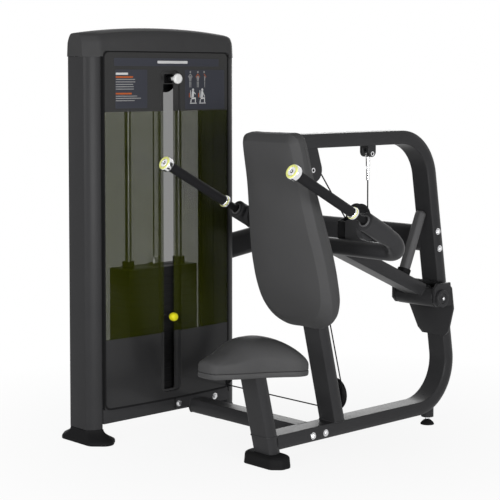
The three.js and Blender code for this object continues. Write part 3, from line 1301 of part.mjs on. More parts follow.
// Backrest, in the frame of the post's front face: x, distance up the post, distance towards the user
const postUp = vec(0, -Math.sin(postLean), Math.cos(postLean));
const postFront = vec(0, -Math.cos(postLean), -Math.sin(postLean));
const backOrigin = vec(0, backPostAt(backBottomZ) - postSideways, backBottomZ);
const onPost = (x, up, out) => backOrigin.clone().add(vec(x, 0, 0))
  .addScaledVector(postUp, up).addScaledVector(postFront, out);
const up = (z) => (z - backBottomZ) / Math.cos(postLean);
const backTall = up(backTopZ);
const backHalfAt = (share) => THREE.MathUtils.lerp(backTopHalfWidth, backLowHalfWidth, share);
const backHalf = [
  [0, 0], [backLowHalfWidth * 0.45, backTall * 0.0015], [backLowHalfWidth * 0.78, backTall * 0.045],
  [backLowHalfWidth * 0.96, backTall * 0.13], [backLowHalfWidth, backTall * 0.25],
  [backLowHalfWidth * 0.985, backTall * 0.4], [backHalfAt(0.55), backTall * 0.56],
  [backHalfAt(0.16), backTall * 0.75],
  [backTopHalfWidth, backTall * 0.92], [backTopHalfWidth * 0.95, backTall * 0.975],
  [backTopHalfWidth * 0.8, backTall * 0.998], [0, backTall],
];
const backOutline = mirroredOutline(backHalf, cushionDivisions);
const lowShare = (s) => 1 - smooth(s / (backTall * 0.28));
const creaseOut = (s) => THREE.MathUtils.lerp(backThickness, backTopThickness,
  smooth((s / backTall - 0.4) / 0.55));
const backRing = (inset, out) => insetOutline(backOutline, (p) => inset * (1 + lowShare(p.y)))
  .map((p) => onPost(p.x, p.y, typeof out === 'function' ? out(p.y) : out));
add('backrest_board', loft([
  backRing(backBoardInset + backBoardEase, seatGap),
  backRing(backBoardInset + backBoardEase * 0.2, seatGap + backBoardEase * 0.8),
  backRing(backBoardInset, backBoardThickness),
]), boardPaint);
const padFrom = backBoardThickness + seatGap;
const backFaceRing = (share, lift) => insetOutline(backOutline, (p) => backBevel * (1 + lowShare(p.y)))
  .map((p) => onPost(p.x * share, backTall / 2 + (p.y - backTall / 2) * (1 - (1 - share) * 0.6),
    creaseOut(p.y) + lift * backCrown));
add('backrest_cushion', loft([
  backRing(cushionTuck * 0.8, padFrom), backRing(0, padFrom + cushionTuckRise),
  backRing(0, (s) => creaseOut(s) - backBevel),
  backRing(backBevel * 0.35, (s) => creaseOut(s) - backBevel * 0.45), backRing(backBevel, creaseOut),
  backFaceRing(0.8, 0.45), backFaceRing(0.5, 0.85), backFaceRing(0.2, 1),
]), upholstery);

// Origin on the floor under the middle of the whole machine
const whole = new THREE.Box3().setFromObject(machine);
const middle = whole.getCenter(vec(0, 0, 0));
machine.children.forEach((mesh) => mesh.geometry.translate(-middle.x, -middle.y, -whole.min.z));

export default machine;
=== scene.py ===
# A seated dip machine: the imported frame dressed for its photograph.
# Lengths are in millimetres from the seat's middle plane and the tower's middle;
# lamps, bolts, welds and material values are in metres.
import json
import math

import bmesh
import bpy
import numpy as np
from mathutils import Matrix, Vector
from mathutils.kdtree import KDTree


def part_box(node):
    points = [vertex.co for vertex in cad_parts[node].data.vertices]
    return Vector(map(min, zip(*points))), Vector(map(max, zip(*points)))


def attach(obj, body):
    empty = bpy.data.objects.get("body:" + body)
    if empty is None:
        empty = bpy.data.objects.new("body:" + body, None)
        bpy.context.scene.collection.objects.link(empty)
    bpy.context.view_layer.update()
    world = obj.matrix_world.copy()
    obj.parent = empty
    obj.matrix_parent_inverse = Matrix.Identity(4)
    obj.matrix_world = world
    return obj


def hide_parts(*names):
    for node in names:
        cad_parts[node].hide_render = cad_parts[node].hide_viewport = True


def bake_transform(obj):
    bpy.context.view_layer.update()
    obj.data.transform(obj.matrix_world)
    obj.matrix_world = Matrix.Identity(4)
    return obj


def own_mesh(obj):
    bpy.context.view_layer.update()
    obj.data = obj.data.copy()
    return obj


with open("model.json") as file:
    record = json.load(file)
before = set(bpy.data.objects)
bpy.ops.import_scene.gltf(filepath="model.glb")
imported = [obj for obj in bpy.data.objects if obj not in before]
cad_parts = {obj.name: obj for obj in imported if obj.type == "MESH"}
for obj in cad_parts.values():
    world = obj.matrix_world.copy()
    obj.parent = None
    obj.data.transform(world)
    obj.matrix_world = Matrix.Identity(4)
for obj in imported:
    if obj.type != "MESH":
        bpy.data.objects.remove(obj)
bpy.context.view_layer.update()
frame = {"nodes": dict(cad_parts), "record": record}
record = frame["record"]
body_of = {node: body for body, nodes in record["behaviour"]["bodies"].items() for node in nodes}
slot_of = {part["node"]: part["material_slot"] for part in record["subparts"]}

foot_low, foot_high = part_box("seat_post_foot")
rod_boxes = [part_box(name) for name in ("guide_rod_front", "guide_rod_rear")]
ORIGIN = Vector(((foot_low.x + foot_high.x) / 2, sum(low.y + high.y for low, high in rod_boxes) / 4, 0))
X, Y, Z = Vector((1, 0, 0)), Vector((0, 1, 0)), Vector((0, 0, 1))
ENDS = (("front", -1), ("rear", 1))

mix = lambda a, b, t: a + (b - a) * t
across = lambda u, v, d: (d, u, v)


def smooth(t):
    held = min(max(t, 0), 1)
    return held * held * (3 - 2 * held)


def at(x, y, z):
    """A point of the machine, from millimetres to the row frame in metres."""
    return ORIGIN + Vector((x, y, z)) / 1000


# ---- Sizes shared with the frame, in millimetres ----
GAP = 0.3
TUBE_WIDTH, TUBE_DEPTH, TUBE_RISE = 92, 50, 8
BEAM_Z = 78
POST_LEAN, UPRIGHT_LEAN, SEAT_TILT = (math.radians(angle) for angle in (13.6, 8.8, 2.3))
BEND_RADIUS = 170
LOOP_START_Y, LOOP_REAR_Y, LOOP_TOP_Z = 84, 694, 1108
SEAT_POST_Y, BACK_POST_Y, POST_MEASURE_Z = -100, 237, 175
SEAT_POST_LOW, SEAT_POST_TOP, BACK_POST_LOW, BACK_POST_TOP = 42.3, 328, 103.3, 1140
LEVEL_FOOT_Y = 784
TOWER_X, TOWER_HALF = -693, 360
NOSE_WIDTH, NOSE_CHAMFER, TOWER_DEPTH, TOWER_INNER_Y, UPRIGHT_LOW = 91, 50, 76, 304, 50.3
PANEL_HALF, PANEL_DEPTH, PANEL_BOW, PANEL_WALL = 301, 87, 15, 4
PANEL_LOW, PANEL_HIGH = 121, 1424
COVER_LOW, COVER_END, COVER_CROWN, COVER_WALL = 1404, 1484, 1508, 4
CHANNEL_LOW, CHANNEL_HIGH, CHANNEL_WIDTH, CHANNEL_DEPTH = 147, 1357, 100, 16
CROSS_Y, CROSS_WIDTH = 136, 76
TIE_Z, TIE_RISE, TIE_WIDTH = 714, 58, 100
PLINTH_FACE = TOWER_X + 82
PIVOT_Y, PIVOT_Z, PIVOT_SLEEVE = 730, 503, 36
CROSS_TUBE_Y, CROSS_TUBE_Z, CROSS_RADIUS = 270, 727, 30
HANDLE_X, HANDLE_TILT = 314, math.radians(28)
KNUCKLE_Y, KNUCKLE_Z, KNUCKLE_RADIUS, KNUCKLE_LENGTH = 132, 824, 33, 116
PULLEY_WIDTH, PULLEY_RIM, CABLE, CHEEK_WALL = 24, 6, 5, 5
MOVABLE = (0, 389, 817, 50)
UPPER = (0, 136, 1005, 37)
LOWER = (-42, 301, 182, 55)
BASE = (TOWER_X + 50, 301, 177, 50)
TOP_REAR = (TOWER_X, 251, 1328, 50)
TOP_MIDDLE = (TOWER_X, 50, 1328, 50)
ANCHOR_Y, ANCHOR_BOLT_Z, TURNBUCKLE_LOW = 439, 1052, 954
ROD_Y, ROD_RADIUS, ROD_LOW, ROD_LENGTH = 123, 12.5, 119.3, 1184.4
STACK_LOW, PLATE, PLATE_DEPTH, REST_PLATES, STEM_TOP = 150, 27, 118, 10, 650.6
KNOB_Z, RECESS_LOW, RECESS_HIGH, RECESS_HALF = 1324, 1307, 1341, 21

post_slope = math.tan(POST_LEAN)
seat_post_y = lambda z: SEAT_POST_Y - post_slope * (z - POST_MEASURE_Z)
back_post_y = lambda z: BACK_POST_Y - post_slope * (z - POST_MEASURE_Z)
rear_corner_y = LOOP_REAR_Y + BEND_RADIUS * math.tan((math.pi / 2 + UPRIGHT_LEAN) / 2)
upright_y = lambda z: rear_corner_y - math.tan(UPRIGHT_LEAN) * (z - BEAM_Z)


# ---- Shader values and finishes ----
class Value:
    """A socket of a finish, on which Python's operators add Math nodes."""

    def __init__(self, finish, socket):
        self.finish, self.socket = finish, socket

    def _math(self, operation, other):
        return self.finish.node("ShaderNodeMath", {"operation": operation}, {0: self, 1: other})

    def __add__(self, other): return self._math("ADD", other)
    def __mul__(self, other): return self._math("MULTIPLY", other)
    def __gt__(self, other): return self._math("GREATER_THAN", other)
    def __lt__(self, other): return self._math("LESS_THAN", other)


class Finish:
    """A material under construction, with one Principled shader."""

    def __init__(self, name, **constants):
        self.material = bpy.data.materials.new(name)
        self.material.use_nodes = True
        self.tree = self.material.node_tree
        self.tree.nodes.clear()
        self.output = self.tree.nodes.new("ShaderNodeOutputMaterial")
        self.shader = self.tree.nodes.new("ShaderNodeBsdfPrincipled")
        self.tree.links.new(self.shader.outputs[0], self.output.inputs[0])
        self.set(**constants)

    def feed(self, socket, value):
        if isinstance(value, Value):
            self.tree.links.new(value.socket, socket)
        else:
            socket.default_value = value

    def set(self, **values):
        for key, value in values.items():
            self.feed(self.shader.inputs[key.replace("_", " ")], value)
        return self

    def node(self, kind, settings=None, inputs=None, output=0):
        made = self.tree.nodes.new(kind)
        for key, value in (settings or {}).items():
            setattr(made, key, value)
        for key, value in (inputs or {}).items():
            self.feed(made.inputs[key], value)
        return Value(self, made.outputs[output])

    def place(self):
        return self.node("ShaderNodeTexCoord", output="Object")

    def height(self):
        return self.node("ShaderNodeSeparateXYZ", inputs={0: self.place()}, output="Z")

    def noise(self, scale, detail=2, roughness=0.5, stretch=None):
        where = self.place()
        if stretch:
            where = self.node("ShaderNodeMapping", inputs={"Vector": where, "Scale": stretch})
        return self.node("ShaderNodeTexNoise", inputs={
            "Vector": where, "Scale": scale, "Detail": detail, "Roughness": roughness})

    def mix(self, share, first, second):
        made = self.tree.nodes.new("ShaderNodeMix")
        made.data_type = "RGBA"
        self.feed(made.inputs[0], share)
        for socket, colour in ((6, first), (7, second)):
            self.feed(made.inputs[socket], colour if isinstance(colour, Value) else (*colour, 1))
        return Value(self, made.outputs[2])

    def bump(self, height, strength, distance):
        made = self.node("ShaderNodeBump", inputs={
            "Height": height, "Strength": strength, "Distance": distance})
        return self.set(Normal=made).material


def shades(colour, spread):
    return [tuple(c * (1 + s) for c in colour) for s in (-spread, spread)]


def coated(name, colour, roughness, spread=0.12, grain=900, depth=0.00025, strength=0.25, specular=0.08):
    """Paint, moulded plastic or rubber: cloudy tone, uneven gloss and a fine grain."""
    finish = Finish(name, Specular_IOR_Level=specular)
    cloud, speck = finish.noise(7, 4), finish.noise(grain, 2)
    finish.set(Base_Color=finish.mix(cloud, *shades(colour, spread)),
               Roughness=cloud * 0.12 + speck * 0.08 + (roughness - 0.1))
    return finish.bump(speck, strength, depth)


def metal(name, colour, roughness, brushed=(1, 1, 1), scale=60):
    """Bare or plated metal with a faint brushed or wiped look."""
    finish = Finish(name, Metallic=1.0)
    streak = finish.noise(scale, 4, stretch=brushed)
    finish.set(Base_Color=finish.mix(streak, *shades(colour, 0.08)),
               Roughness=streak * 0.14 + (roughness - 0.07))
    return finish.bump(streak, 0.05, 0.0002)


def leather(name, colour):
    """Upholstery: small pebbled grain, broad handling sheen and finer creases."""
    finish = Finish(name, Specular_IOR_Level=0.03)
    pebble = finish.node("ShaderNodeTexVoronoi", {"feature": "SMOOTH_F1"},
                         {"Vector": finish.place(), "Scale": 520})
    fold, cloud = finish.noise(160, 5, 0.6), finish.noise(5, 3)
    finish.set(Base_Color=finish.mix(cloud * 0.7 + fold * 0.3, *shades(colour, 0.14)),
               Roughness=cloud * 0.14 + pebble * 0.1 + 0.36)
    return finish.bump(pebble * 0.7 + fold * 0.5, 0.3, 0.00035)


def tinted_sheet(name, tint, clear_alpha, prints=()):
    """Tinted acrylic; prints are tones painted from behind, each below or above a height in metres."""
    finish = Finish(name, IOR=1.49, Specular_IOR_Level=0.12)
    haze = finish.noise(3, 3)
    colour = finish.mix(haze, *shades(tint, 0.1))
    alpha = haze * 0.03 + (clear_alpha - 0.015)
    for tone, below, height in prints:
        painted = finish.height() < height if below else finish.height() > height
        colour = finish.mix(painted, colour, finish.mix(haze, *shades(tone, 0.08)))
        alpha = alpha + painted * (1.05 - clear_alpha)
    return finish.set(Base_Color=colour, Alpha=alpha, Roughness=haze * 0.06 + 0.12).material


PLASTIC, INK = {"spread": 0.05, "grain": 1200}, {"spread": 0.06}
paint = coated("frame_paint", (0.033, 0.033, 0.0345), 0.36)
cover_paint = coated("cover_paint", (0.046, 0.046, 0.047), 0.5, grain=1400)
kick_paint = coated("kick_paint", (0.033, 0.033, 0.034), 0.4)
rubber = coated("rubber", (0.011, 0.011, 0.0115), 0.62, grain=700, strength=0.4, specular=0.04)
foam = coated("grip_rubber", (0.011, 0.011, 0.012), 0.7, grain=420, strength=0.5, depth=0.0004, specular=0.1)
board_black = coated("board", (0.062, 0.062, 0.063), 0.5, grain=1200)
iron = coated("stack_iron", (0.012, 0.012, 0.0125), 0.5, grain=300, strength=0.35, depth=0.0005)
nylon = coated("pulley_nylon", (0.008, 0.008, 0.0085), 0.45, grain=1100)
coat_black = coated("cable_coat", (0.006, 0.006, 0.0065), 0.35, grain=1800)
yellow = coated("yellow_plastic", (0.8, 0.74, 0.02), 0.35, **PLASTIC)
lime = coated("ring_yellow", (0.82, 0.84, 0.28), 0.35, **PLASTIC)
white = coated("white_plastic", (0.78, 0.78, 0.77), 0.3, spread=0.04, grain=1200)
ink_white = coated("print_white", (0.6, 0.6, 0.6), 0.5, **INK)
ink_grey = coated("print_grey", (0.3, 0.3, 0.3), 0.5, **INK)
ink_orange = coated("print_orange", (0.42, 0.1, 0.03), 0.5, spread=0.08)
ink_slate = coated("print_slate", (0.043, 0.045, 0.056), 0.45, **INK)
dark_steel = coated("stop_paint", (0.1, 0.1, 0.102), 0.36)
upholstery = leather("upholstery", (0.066, 0.066, 0.067))
chrome = metal("chrome", (0.8, 0.8, 0.81), 0.14, (1, 1, 0.1))
zinc = metal("zinc", (0.66, 0.66, 0.67), 0.26)
rod_steel = metal("rod_steel", (0.2, 0.2, 0.2), 0.3, (1, 1, 0.1))
smoked = tinted_sheet("acrylic_front", (0.03, 0.036, 0.001), 0.44, (
    ((0.032, 0.032, 0.033), True, 0.376), ((0.036, 0.036, 0.036), False, 1.204)))
smoked_rear = tinted_sheet("acrylic_rear", (0.036, 0.042, 0.004), 0.5)
finish_of_slot = {
    "frame_paint": paint, "cover_paint": cover_paint, "acrylic": smoked_rear, "kick_paint": kick_paint,
    "rubber": rubber, "upholstery": upholstery, "board": board_black, "chrome": chrome, "iron": iron,
    "nylon": nylon, "yellow": yellow, "white": white, "cable": coat_black,
}
for node, carrier in frame["nodes"].items():
    for socket in carrier.material_slots:
        socket.material = finish_of_slot[slot_of[node]]


# ---- Making meshes ----
def creased(mesh, angle=32):
    """Smooth faces that meet in a crisp edge past an angle, facing outwards."""
    shape = bmesh.new()
    shape.from_mesh(mesh)
    bmesh.ops.remove_doubles(shape, verts=shape.verts, dist=2e-6)
    bmesh.ops.recalc_face_normals(shape, faces=shape.faces)
    for face in shape.faces:
        face.smooth = True
    for edge in shape.edges:
        edge.smooth = len(edge.link_faces) == 2 and edge.calc_face_angle(0) < math.radians(angle)
    shape.to_mesh(mesh)
    shape.free()
    return mesh


def shown(name, mesh, *finishes):
    mesh.name = name
    for finish in finishes:
        mesh.materials.append(finish)
    piece = bpy.data.objects.new(name, mesh)
    bpy.context.scene.collection.objects.link(piece)
    return piece


def settled(piece):
    """The piece with its modifiers worked into a plain mesh."""
    bpy.context.view_layer.update()
    result = bpy.data.meshes.new_from_object(piece.evaluated_get(bpy.context.evaluated_depsgraph_get()))
    piece.modifiers.clear()
    old = piece.data
    piece.data = result
    bpy.data.meshes.remove(old)
    return piece


class Form:
    """Points in millimetres and faces of one piece, gathered part by part."""

    def __init__(self):
        self.points, self.faces, self.finish = [], [], []

    def add(self, points, faces, finish=0):
        start = len(self.points)
        self.points += [tuple(p) for p in points]
        self.faces += [[start + i for i in face] for face in faces]
        self.finish += [finish] * len(faces)
        return self

    def rings(self, rings, finish=0, caps=True):
        count = len(rings[0])
        faces = []
        for r in range(len(rings) - 1):
            for i in range(count):
                j = (i + 1) % count
                faces.append([r * count + i, r * count + j, (r + 1) * count + j, (r + 1) * count + i])
        if caps:
            last = (len(rings) - 1) * count
            faces += [list(range(count))[::-1], [last + i for i in range(count)]]
        return self.add([p for ring in rings for p in ring], faces, finish)

    def turned(self, profile, start, direction, sides=48, finish=0, ease=0.6, closed=False):
        """A turned shape: (radius, distance) pairs along an axis, with its corners eased."""
        axis = Vector(direction).normalized()
        u_axis = axis.orthogonal().normalized()
        v_axis = axis.cross(u_axis)
        start = Vector(start)
        rings = []
        for radius, along in eased([p for p in profile if p[0] > 0 or closed], ease, closed):
            rings.append([start + axis * along + (u_axis * math.cos(a) + v_axis * math.sin(a)) * radius
                          for a in (2 * math.pi * i / sides for i in range(sides))])
        if closed:
            rings.append(rings[0])
        return self.rings(rings, finish, caps=not closed)

    def swept(self, section, stations, side, finish=0, planes=(None, None)):
        """A section along stations of (point, direction); a plane (point, normal) trims either end."""
        normal = Vector(side)
        rings = []
        for index, (point, direction) in enumerate(stations):
            normal = (normal - direction * normal.dot(direction)).normalized()
            other = direction.cross(normal)
            ring = [point + normal * u + other * v for u, v in section]
            plane = planes[0] if index == 0 else planes[1] if index == len(stations) - 1 else None
            rings.append(moved_to(ring, direction, plane) if plane else ring)
        return self.rings(rings, finish)

    def slab(self, outline, low, high, place, finish=0, ease=1.0):
        """A plate: an outline (u, v) between two depths, with eased edges; place takes (u, v, depth)."""
        tight = inset(outline, ease)
        layers = [(tight, low), (outline, low + ease), (outline, high - ease), (tight, high)]
        return self.rings([[place(u, v, d) for u, v in line] for line, d in layers], finish)

    def cheeks(self, outline, inner, outer, ease=0.8):
        """The same plate on both sides of the middle plane."""
        for side in (-1, 1):
            self.slab(outline, *sorted((side * inner, side * outer)), across, ease=ease)
        return self

    def block(self, low, high, finish=0, ease=1.0):
        (x0, y0, z0), (x1, y1, z1) = low, high
        outline = [(x0, y0), (x1, y0), (x1, y1), (x0, y1)]
        return self.slab(outline, z0, z1, lambda u, v, d: (u, v, d), finish, ease)

    def make(self, name, *finishes, angle=32):
        mesh = bpy.data.meshes.new(name)
        mesh.from_pydata([at(*p) for p in self.points], [], self.faces)
        mesh.polygons.foreach_set("material_index", self.finish)
        mesh.validate()
        return shown(name, creased(mesh, angle), *finishes)


def moved_to(ring, direction, plane):
    """Points moved along a direction onto a plane of (point, normal)."""
    base, up = Vector(plane[0]), plane[1]
    return [p + direction * ((base - p).dot(up) / direction.dot(up)) for p in ring]


def eased(points, reach, closed=False, steps=3, keep=172):
    """A polyline whose corners are rounded over a reach, unless they open past an angle in degrees."""
    result = []
    count = len(points)
    for i, p in enumerate(points):
        here, before, after = (Vector((*points[k % count], 0)) for k in (i, i - 1, i + 1))
        a, b = before - here, after - here
        ends = not closed and i in (0, count - 1)
        if ends or a.length < 1e-6 or b.length < 1e-6 or a.angle(b) > math.radians(keep):
            result.append(tuple(p))
            continue
        start, end = (here + c.normalized() * min(reach, c.length * 0.45) for c in (a, b))
        for t in (k / steps for k in range(steps + 1)):
            q = start * (1 - t) ** 2 + here * 2 * t * (1 - t) + end * t * t
            result.append((q.x, q.y))
    return result


def inset(outline, amount):
    """A closed outline drawn in by an amount, whichever way round it goes."""
    count = len(outline)
    area = sum(outline[i - 1][0] * outline[i][1] - outline[i][0] * outline[i - 1][1] for i in range(count))
    sign = 1 if area > 0 else -1
    result = []
    for i, (u, v) in enumerate(outline):
        after = outline[(i + 1) % count]
        a = Vector((u - outline[i - 1][0], v - outline[i - 1][1])).normalized()
        b = Vector((after[0] - u, after[1] - v)).normalized()
        inward = Vector((-a.y - b.y, a.x + b.x)) * sign
        scale = amount / max(inward.length_squared / 2, 0.3)
        result.append((u + inward.x * scale, v + inward.y * scale))
    return result


def arc(centre, radius, start, end, steps):
    return [(centre[0] + radius * math.cos(a), centre[1] + radius * math.sin(a))
            for a in np.linspace(start, end, steps + 1)]


def circle(radius, sides=24):
    return arc((0, 0), radius, 0, 2 * math.pi, sides)[:-1]


def rounded(width, height, radius, middle=(0, 0), steps=6):
    x, y = width / 2 - radius, height / 2 - radius
    quarter = math.pi / 2
    points = []
    for k, (sx, sy) in enumerate(((1, 1), (-1, 1), (-1, -1), (1, -1))):
        points += arc((middle[0] + sx * x, middle[1] + sy * y), radius, k * quarter, (k + 1) * quarter, steps)
    return points


def flat_oval(width=TUBE_WIDTH, depth=TUBE_DEPTH, rise=TUBE_RISE, edge=3.2, steps=12):
    """The tube's section: two flats and two bowed sides, with eased corners between them."""
    radius = ((depth / 2) ** 2 + rise ** 2) / (2 * rise)
    reach = math.asin(depth / 2 / radius)
    right = arc((width / 2 - radius, 0), radius, -reach, reach, steps)
    return eased(right + [(-u, -v) for u, v in right], edge, closed=True, steps=4)


def turned_arc(begin, into, inward, radius, turn, steps=24):
    centre = begin + inward * radius
    return [(centre - inward * radius * math.cos(a) + into * radius * math.sin(a),
             into * math.cos(a) + inward * math.sin(a)) for a in np.linspace(0, turn, steps + 1)]


def bent(corners, radius=0, steps=20):
    """Stations of (point, direction) along straight runs and round bends."""
    corners = [Vector(c) for c in corners]
    stations = [(corners[0], (corners[1] - corners[0]).normalized())]
    for before, corner, after in zip(corners, corners[1:], corners[2:]):
        into, out = (corner - before).normalized(), (after - corner).normalized()
        stations += turned_arc(corner - into * radius * math.tan(into.angle(out) / 2), into,
                               (out - into * into.dot(out)).normalized(), radius, into.angle(out), steps)
    stations.append((corners[-1], (corners[-1] - corners[-2]).normalized()))
    return stations


def split_long(stations, longest):
    """The same stations with more of them where a run is long."""
    result = [stations[0]]
    for (p, d), (q, e) in zip(stations, stations[1:]):
        count = max(1, math.ceil((q - p).length / longest))
        result += [(p.lerp(q, k / count), d.lerp(e, k / count).normalized()) for k in range(1, count + 1)]
    return result


def carved(piece, *tools, angle=32):
    """The piece with tools cut out of it; the tools are used up."""
    for tool in tools:
        cut = piece.modifiers.new("cut", "BOOLEAN")
        cut.operation, cut.solver, cut.object = "DIFFERENCE", "EXACT", tool
    settled(piece)
    for tool in tools:
        bpy.data.objects.remove(tool)
    creased(piece.data, angle)
    for spare in range(len(piece.data.materials) - 1, 0, -1):
        if piece.data.materials[spare] is None:
            piece.data.materials.pop(index=spare)
    return piece


def carried(piece, body):
    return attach(piece, body)


def stand_for(piece, *nodes):
    """The piece is shown in place of these nodes, on the body of the first."""
    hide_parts(*nodes)
    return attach(piece, body_of[nodes[0]])


def refined(node, finish, edge=0.0008, tool=None):
    """A node's own shape with its edges eased, and a tool cut out of it that leaves the second finish."""
    shape = bmesh.new()
    shape.from_mesh(frame["nodes"][node].data)
    bmesh.ops.remove_doubles(shape, verts=shape.verts, dist=5e-6)
    bmesh.ops.dissolve_limit(shape, angle_limit=math.radians(1.5), verts=shape.verts, edges=shape.edges)
    mesh = bpy.data.meshes.new(node)
    shape.to_mesh(mesh)
    shape.free()
    piece = shown(f"{node}_finished", mesh, finish, *([nylon] if tool else []))
    ease = piece.modifiers.new("ease", "BEVEL")
    ease.limit_method, ease.angle_limit = "ANGLE", math.radians(40)
    ease.width, ease.segments, ease.use_clamp_overlap = edge, 2, True
    settled(piece)
    creased(piece.data)
    if tool:
        carved(piece, tool)
    return stand_for(piece, node)


# ---- Frame tubes ----
def tube(name, node, points, section=None, side=X, radius=0, steps=20, planes=(None, None), finish=paint):
    """One bare tube along a path, shown for its node."""
    form = Form().swept(section or oval, bent(points, radius, steps), side, planes=planes)
    return stand_for(form.make(name, finish), node)


oval = flat_oval()
level_cut = lambda z: ((0, 0, z), Z)
seat_up = Vector((0, math.sin(SEAT_TILT), math.cos(SEAT_TILT)))
seat_plane = ((0, seat_post_y(SEAT_POST_TOP), SEAT_POST_TOP), seat_up)
tube("seat_post_tube", "seat_post", [(0, seat_post_y(z), z) for z in (SEAT_POST_LOW, SEAT_POST_TOP)],
     planes=(level_cut(SEAT_POST_LOW), seat_plane))
tube("front_beam_tube", "front_base_beam",
     [(0, seat_post_y(BEAM_Z) + 18, BEAM_Z), (0, LOOP_START_Y - GAP, BEAM_Z)])

loop_points = [(0, LOOP_START_Y, BEAM_Z), (0, rear_corner_y, BEAM_Z),
               (0, upright_y(LOOP_TOP_Z), LOOP_TOP_Z), (0, back_post_y(LOOP_TOP_Z), LOOP_TOP_Z)]
loop = Form().swept(oval, bent(loop_points, BEND_RADIUS, 28), X)
loop.turned([(24, 30), (24, 120)], (0, LEVEL_FOOT_Y, 0), Z, ease=1.5)
stand_for(loop.make("loop_tube", paint), "loop_frame")

lean = Vector((0, -math.sin(POST_LEAN), math.cos(POST_LEAN)))
cheek_inner = PULLEY_WIDTH / 2 + 2
post = Form().swept(oval, bent([(0, back_post_y(z), z) for z in (BACK_POST_LOW, BACK_POST_TOP)]), X,
                    planes=(level_cut(BACK_POST_LOW), level_cut(BACK_POST_TOP)))
cheek_top = LOOP_TOP_Z - TUBE_DEPTH / 2 - GAP
cheek_radius = UPPER[3] + PULLEY_RIM + 2
cheek = [(back_post_y(UPPER[2] - cheek_radius), UPPER[2] - cheek_radius)]
cheek += arc((UPPER[1], UPPER[2]), cheek_radius, -math.pi / 2, 0.3, 20)
cheek += [(UPPER[1] + cheek_radius / 2, cheek_top), (back_post_y(cheek_top), cheek_top)]
post.cheeks(cheek, cheek_inner, cheek_inner + CHEEK_WALL)
post.turned([(6, -19), (6, 19)], UPPER[:3], X)
post.block((-54, 273, 170), (-30, 287, 194))
post.block((-54, back_post_y(182), 170), (0, 287, 194))
post.turned([(6, -16), (6, 14)], LOWER[:3], Y)
stand_for(post.make("backrest_post_tube", paint), "backrest_post")

cross_ends = [(x, CROSS_Y, BEAM_Z) for x in (PLINTH_FACE + 4, -30)]
cross = Form().swept(flat_oval(CROSS_WIDTH), bent(cross_ends), Y)
cross.block((PLINTH_FACE + GAP, CROSS_Y - 105, 75), (PLINTH_FACE + 9.3, CROSS_Y + 105, 119), ease=1.5)
stand_for(cross.make("crossbeam_tube", paint), "crossbeam")

tie_y, tie_end = upright_y(TIE_Z), TOWER_HALF + GAP
tie_slope = TIE_RISE / (tie_y - TOWER_HALF)
tube("tie_beam_tube", "upper_tie_beam",
     [(-30, tie_y, TIE_Z), (TOWER_X, tie_y, TIE_Z),
      (TOWER_X, tie_end, TIE_Z - tie_slope * (tie_y - tie_end))],
     flat_oval(TIE_WIDTH, 50, 18), Z, 130, 28, (None, ((0, tie_end, 0), Y)))

foot_spot = ((0, LEVEL_FOOT_Y, 0), Z)
level = Form().turned([(26, 0), (26, 4), (23, 8), (18, 13), (13, 17), (8, 19), (8, 22)], *foot_spot, ease=2)
level.turned([(9, 22), (9, 26.5)], *foot_spot, sides=6, finish=1, ease=0.3)
thread = [(6, 19)] + [(6 - 0.5 * (i % 2), 26.5 + i * 0.5) for i in range(7)]
level.turned(thread, *foot_spot, finish=1, ease=0.1)
stand_for(level.make("levelling_foot_disc", rubber, zinc), "levelling_foot")


# ---- Tower ----
def nose_plan(side):
    """The upright's plan: inner wall, straight flanks, curved shoulders and a flat nose."""
    nose_y, shoulder_y, inner_y = (side * v for v in (TOWER_HALF, TOWER_HALF - NOSE_CHAMFER, TOWER_INNER_Y))
    flank = TOWER_DEPTH
    bulge = (flank - (flank - NOSE_WIDTH / 2) / 4, nose_y - side * NOSE_CHAMFER / 4)
    half = [tuple((1 - t) ** 2 * a + 2 * t * (1 - t) * b + t * t * c
                  for a, b, c in zip((NOSE_WIDTH / 2, nose_y), bulge, (flank, shoulder_y)))
            for t in np.linspace(0, 1, 14)]
    right = half + [(flank, inner_y)]
    return eased(right + [(-u, v) for u, v in reversed(right)], 2.0, closed=True)


pocket = BASE[3] + PULLEY_RIM + 2


def pulley_tool(name):
    """The room round the tower's base pulley."""
    return Form().block((BASE[0] - pocket, BASE[1] - 14, 100),
                        (BASE[0] + 2 * pocket, BASE[1] + 14, BASE[2] + pocket)).make(name, paint)


in_plan = lambda u, v, d: (TOWER_X + u, v, d)
for name, side in ENDS:
    upright = Form().slab(nose_plan(side), UPRIGHT_LOW, COVER_LOW - GAP, in_plan, ease=1.2)
    upright = upright.make(f"upright_{name}", paint)
    if side > 0:
        top_pocket = Form().block((TOWER_X - 14, TOP_REAR[1], TOP_REAR[2] - pocket),
                                  (TOWER_X + 14, TOP_REAR[1] + pocket, TOP_REAR[2] + pocket))
        carved(upright, pulley_tool("pocket_a"), top_pocket.make("pocket_b", paint))
    stand_for(upright, f"tower_upright_{name}")


def softened(corners, reach):
    return eased(corners, reach, closed=True, steps=8)


def octagon(width, length, corner):
    w, l = width / 2, length / 2
    return [(-w + corner, -l), (w - corner, -l), (w, -l + corner), (w, l - corner),
            (w - corner, l), (-w + corner, l), (-w, l - corner), (-w, -l + corner)]


